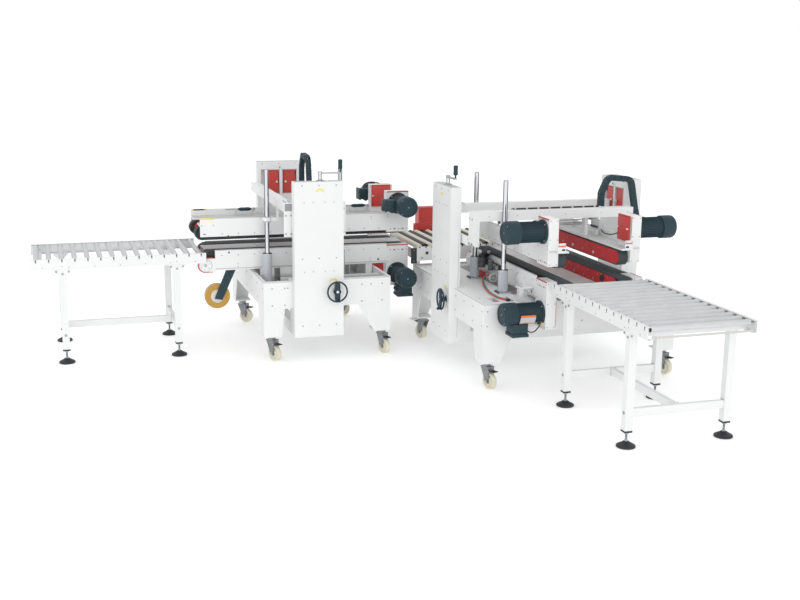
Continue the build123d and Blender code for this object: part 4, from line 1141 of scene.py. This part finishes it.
# transfer rollers: turned tubes with caps, every second one cream
p = Piece("transfer_rollers_v")
for i in range(21):
    x = 60 + 51 * i
    mat = CREAM if i % 2 == 0 else BLACK
    p.lathe(TR, "v", (x, 0, 748), [(0, 11), (10, 11), (10, 13.5), (19, 13.5), (21.5, 12), (23, 14), (23, 711), (21.5, 713),
                                   (19, 711.5), (10, 711.5), (10, 714), (0, 714)], mat, n=32)
    p.cyl(TR, "v", (x, 0, 744), 5.8, 5, 720, STEEL, n=6)
p.done("frame", ["transfer_rollers"])

p = Piece("transfer_details")
# dark slot plates on both frame sides: painted shade standing in for the axle slots
for i in range(21):
    x = 60 + 51 * i
    for y, s in ((0, -1), (725, 1)):
        p.rbox(TR, "v", x - 5, x + 5, 740, 752.2, 3, y - s * 2, y + s * 0.4, DARK_AND_PAINTED_SHADE, bevel=0)
for x in (80, 330, 580, 830, 1080):
    for y, s in ((0, -1), (725, 1)):
        p.bolt(TR, "v", (x, y, 662), s, r=6)
# dark disc: painted shade standing in for a hole
p.cyl(TR, "v", (120, 0, 700), 13, -0.6, 2, DARK_AND_PAINTED_SHADE, n=24)
for x in (262, 406, 548):                                   # drive cover edges and screws
    p.screw(TR, "v", (x, 740, 808), -1, r=4)
    p.screw(TR, "v", (x, 752, 712), 1, r=4)
for x in (310, 490):
    for z in (790, 940):
        p.screw(TR, "v", (x, 850, z), 1, r=4.5)
        p.screw(TR, "v", (x, 752, z if z > 830 else 830), -1, r=4.5)
# dark vent slots: painted shade standing in for openings in the drive cover
for z in (800, 820, 840, 860, 880, 900):
    p.rbox(TR, "v", 350, 450, z, z + 8, 3.5, 847, 850.5, DARK_AND_PAINTED_SHADE, bevel=0)
p.box(TR, 298, 502, 751, 852, 944, 951, RED, bevel=1.5)
p.box(TR, -11, 39, 2, 8, 619, 742, DARK_AND_PAINTED_SHADE, bevel=1)
for z in (636, 724):
    p.screw(TR, "v", (14, 2, z), -1, r=4)
p.done("frame", [])

# side tape head of the second sealer: carrier plate, folding arm with its rollers, knurled wheel, stand
p = Piece("m2_tape_head_v")
p.rbox(M2, "v", -296, -82, 542, 643, 14, -398, -388, RED, bevel=1.5)
for u in (-270, -200, -120):
    p.bolt(M2, "v", (u, -398, 618), -1, r=5)
p.box(M2, -296, -82, -388, -381, 560, 580, SHADE, bevel=1)
p.rbox(M2, "v", -190, 60, 712, 748, 16, -404, -376, BLACK, bevel=2)
p.rbox(M2, "v", 20, 182, 704, 742, 18, -392, -372, BLACK, bevel=2)
pts = [(-186, 742), (-150, 800), (-60, 836), (-10, 830), (14, 800), (-70, 762), (-120, 730)]
p.prism(M2, "v", pts, -396, -384, BLACK, bevel=2)
p.rbox(M2, "v", -192, -58, 688, 786, 8, -414, -410, COVER, bevel=1)
# dark slots: painted shade standing in for the slots in the bracket plate
for z in (708, 764):
    p.rbox(M2, "v", -170, -90, z - 5, z + 5, 4.9, -416, -413, DARK_AND_PAINTED_SHADE, bevel=0)
for u, z, r in ((-60, 0, 27), (110, 0, 20)):
    zz = (690, 790) if r == 27 else (700, 770)
    p.lathe(M2, "z", (u, -430 if r == 27 else -428, 0), [(0, zz[0]), (r - 4, zz[0]), (r, zz[0] + 5), (r, zz[1] - 5), (r - 4, zz[1]),
                                                         (6, zz[1]), (6, zz[1] + 9), (0, zz[1] + 9)], BLACK, n=32)
    for i in range(7):
        p.lathe(M2, "z", (u, -430 if r == 27 else -428, 0), [(r - 0.5, zz[0] + 10 + 10 * i), (r + 0.9, zz[0] + 12 + 10 * i),
                                                             (r - 0.5, zz[0] + 14 + 10 * i)], SHADE, n=32)
p.box(M2, -72, -48, -412, -402, 702, 750, STEEL, bevel=1)
p.box(M2, 98, 122, -412, -388, 702, 740, STEEL, bevel=1)
for u, z, r in ((-150, 730, 17), (0, 812, 14), (38, 728, 22), (150, 722, 19)):
    p.lathe(M2, "v", (u, 0, z), [(0, -413), (r * 0.4, -413), (r * 0.45, -411), (r * 0.9, -411), (r, -409), (r, -392)], STEEL if r < 20 else DARK_AND_PAINTED_SHADE, n=30)
p.box(M2, 148, 158, -446, -372, 642, 668, STEEL, bevel=1)     # knurled wheel facing downstream
p.lathe(M2, "u", (0, -430, 655), [(0, 158), (31, 158), (33, 160), (33, 172), (31, 174), (24, 174), (22, 170), (10, 170), (9, 176),
                                  (0, 177)], COVER, n=36)
for i in range(10):
    a = math.radians(36 * i)
    ca, sa = math.cos(a), math.sin(a)
    pts = [(-430 + 11 * ca - 1.6 * sa, 655 + 11 * sa + 1.6 * ca), (-430 + 23 * ca - 1.6 * sa, 655 + 23 * sa + 1.6 * ca),
           (-430 + 23 * ca + 1.6 * sa, 655 + 23 * sa - 1.6 * ca), (-430 + 11 * ca + 1.6 * sa, 655 + 11 * sa - 1.6 * ca)]
    p.prism(M2, "u", pts, 168, 173.5, DARK_AND_PAINTED_SHADE)
for u in (690, 722):                                        # stand under the unit's outfeed end
    p.box(M2, u, u + 14, -470, -440, 600, 690.5, WHITE, bevel=1.5)
    p.box(M2, u - 6, u + 20, -478, -432, 599.5, 604, WARM, bevel=1)
p.box(M2, 670, 745, -475, -370, 690, 700, WHITE, bevel=1.5)
for u in (697, 729):
    p.bolt(M2, "z", (u, -455, 700), 1, r=5)
p.rbox(M2, "v", 440, 604, 664, 742, 6, -374, -368, WHITE, bevel=1)
for u in (452, 592):
    for z in (674, 732):
        p.screw(M2, "v", (u, -374, z), -1, r=4)
p.done("frame", ["m2_tape_head"])

# two air hoses from the tape head, lying on the deck to a fitting
for hn, mat, off in (("red", HOSE_R, 0), ("teal", TEAL, 13)):
    pts = [(3183, -742, 640), (3160, -716, 652), (3118, -730, 640), (3086, -800, 614), (3066, -880, 607), (3030, -1010, 607),
           (3010, -1120, 607), (3004, -1220, 607), (3010, -1320, 607), (3040, -1372, 607)]
    free_cord("m2_hose_" + hn, [((x + off - 2140) / 1000, (y + off * 0.4 + 923) / 1000, z / 1000) for x, y, z in pts],
              0.009, mat, "frame")
p = Piece("m2_hose_fittings")
for off in (0, 13):
    c = Fr(3040 + off, -1372 + off * 0.4, (0, -1))
    p.box(c, -12, 22, -5.8, 5.8, 599.5, 615, BLACK, bevel=1.5)
c = Fr(3183, -742, (0, -1))
p.box(c, -12, 14, -4, 24, 628, 652, BLACK, bevel=2)
p.done("frame", [])

# plates on the lower near motor of the second sealer, its lead and the first sealer's far lead
p = Piece("motor_marks")
for a0, a1, mat, r1 in ((2, -9, ORANGE, 76.2), (-9, -44, COVER, 76.0), (-44, -52, ORANGE, 76.2)):
    pts = [(856 + r1 * math.cos(math.radians(a0 + (a1 - a0) * i / 5)), 548 + r1 * math.sin(math.radians(a0 + (a1 - a0) * i / 5)))
           for i in range(6)]
    pts += [(856 + 70 * math.cos(math.radians(a1 + (a0 - a1) * i / 5)), 548 + 70 * math.sin(math.radians(a1 + (a0 - a1) * i / 5)))
            for i in range(6)]
    p.prism(M2, "v", pts, -540, -432, mat)
pts = [(856 + 83.2 * math.cos(math.radians(t)), 548 + 83.2 * math.sin(math.radians(t))) for t in (-44, -50, -56, -62)]
pts += [(856 + 78 * math.cos(math.radians(t)), 548 + 78 * math.sin(math.radians(t))) for t in (-62, -56, -50, -44)]
p.prism(M2, "v", pts, -382, -370, YELLOW)
p.done("frame", [])
free_cord("m2_motor_lead", [M2.p(856, -476, 440), M2.p(856, -456, 425), M2.p(856, -430, 412), M2.p(856, -402, 418),
                            M2.p(856, -384, 440), M2.p(856, -366, 457)], 0.008, BLACK, "frame")
free_cord("m1_far_lead", [M1.p(520, 290, 1138), M1.p(521, 288, 1174), M1.p(555, 268, 1195), M1.p(600, 236, 1195),
                          M1.p(632, 208, 1187), M1.p(640, 196, 1181)], 0.009, BLACK, "m1_head")

# adjusting shaft in the first sealer's tray, on two saddles
p = Piece("m1_tray_shaft")
p.cyl(M1, "u", (0, -556, 584), 17, -372, 398, COVER, n=36, bevel=1)
p.lathe(M1, "u", (0, -556, 584), [(12, -380), (22, -380), (24, -378), (24, -366), (22, -364), (17.2, -364)], BLACK, n=36)
p.lathe(M1, "u", (0, -556, 584), [(0, -377), (11.5, -377), (12, -379)], SHADE, n=24)
for u in (-340, 372):
    p.box(M1, u - 9, u + 9, -584, -528, 469.5, 578, WARM, bevel=1.5)
    p.box(M1, u - 11, u + 11, -590, -522, 469.5, 476, WARM, bevel=1)
p.done("frame", [])

# tape reel: wound tape, card core, hub and clamping star
p = Piece("tape_reel_v")
V0, V1 = -252, -204
prof = [(50, V0 + 1.5), (52, V0 + 1)]
r = 52.0
while r < 91:                                               # wound edge, slightly uneven
    prof += [(r, V0 + 1 + random.random() * 0.7), (r + 1.6, V0 + 1 + random.random() * 0.7)]
    r += 3.2
prof += [(95, V0 + 1.5), (95, V1 - 1.5), (92, V1 - 1), (52, V1 - 1), (50, V1 - 1.5)]
p.lathe(M1, "v", (-782, 0, 418), prof, AMBER, n=72)
p.lathe(M1, "v", (-782, 0, 418), [(44, V0 + 2), (50.5, V0), (50.5, V1), (44, V1 - 2)], CARD, n=56, close=True)
p.lathe(M1, "v", (-782, 0, 418), [(9.3, V0), (14, V0), (30, V0 + 4), (43.5, V0 + 3), (43.5, V1 - 4), (28, V1 - 6), (12, V1),
                                  (9.3, V1)], CARD, n=40)
p.lathe(M1, "v", (-782, 0, 418), [(9.3, V0), (16, V0 - 0.4), (17, V0 + 1), (17, V0 + 3)], STEEL, n=24)
for i in range(6):                                          # clamping star on the core
    a = math.radians(60 * i)
    ca, sa = math.cos(a), math.sin(a)
    pts = [(-782 + 16 * ca - 3 * sa, 418 + 16 * sa + 3 * ca), (-782 + 43 * ca - 3 * sa, 418 + 43 * sa + 3 * ca),
           (-782 + 43 * ca + 3 * sa, 418 + 43 * sa - 3 * ca), (-782 + 16 * ca + 3 * sa, 418 + 16 * sa - 3 * ca)]
    p.prism(M1, "v", pts, V0 + 1, V0 + 6, CARD, bevel=0.6, seg=1)
p.done("tape_reel", ["m1_tape_reel"])

# ------------------------------------------------------------------ floor
bm = bmesh.new()
bmesh.ops.create_grid(bm, x_segments=2, y_segments=2, size=60)
me = bpy.data.meshes.new("floor")
bm.to_mesh(me)
bm.free()
me.materials.append(FLOOR)
floor = bpy.data.objects.new("floor", me)
floor.location = (0, 0, -0.0005)
scene.collection.objects.link(floor)
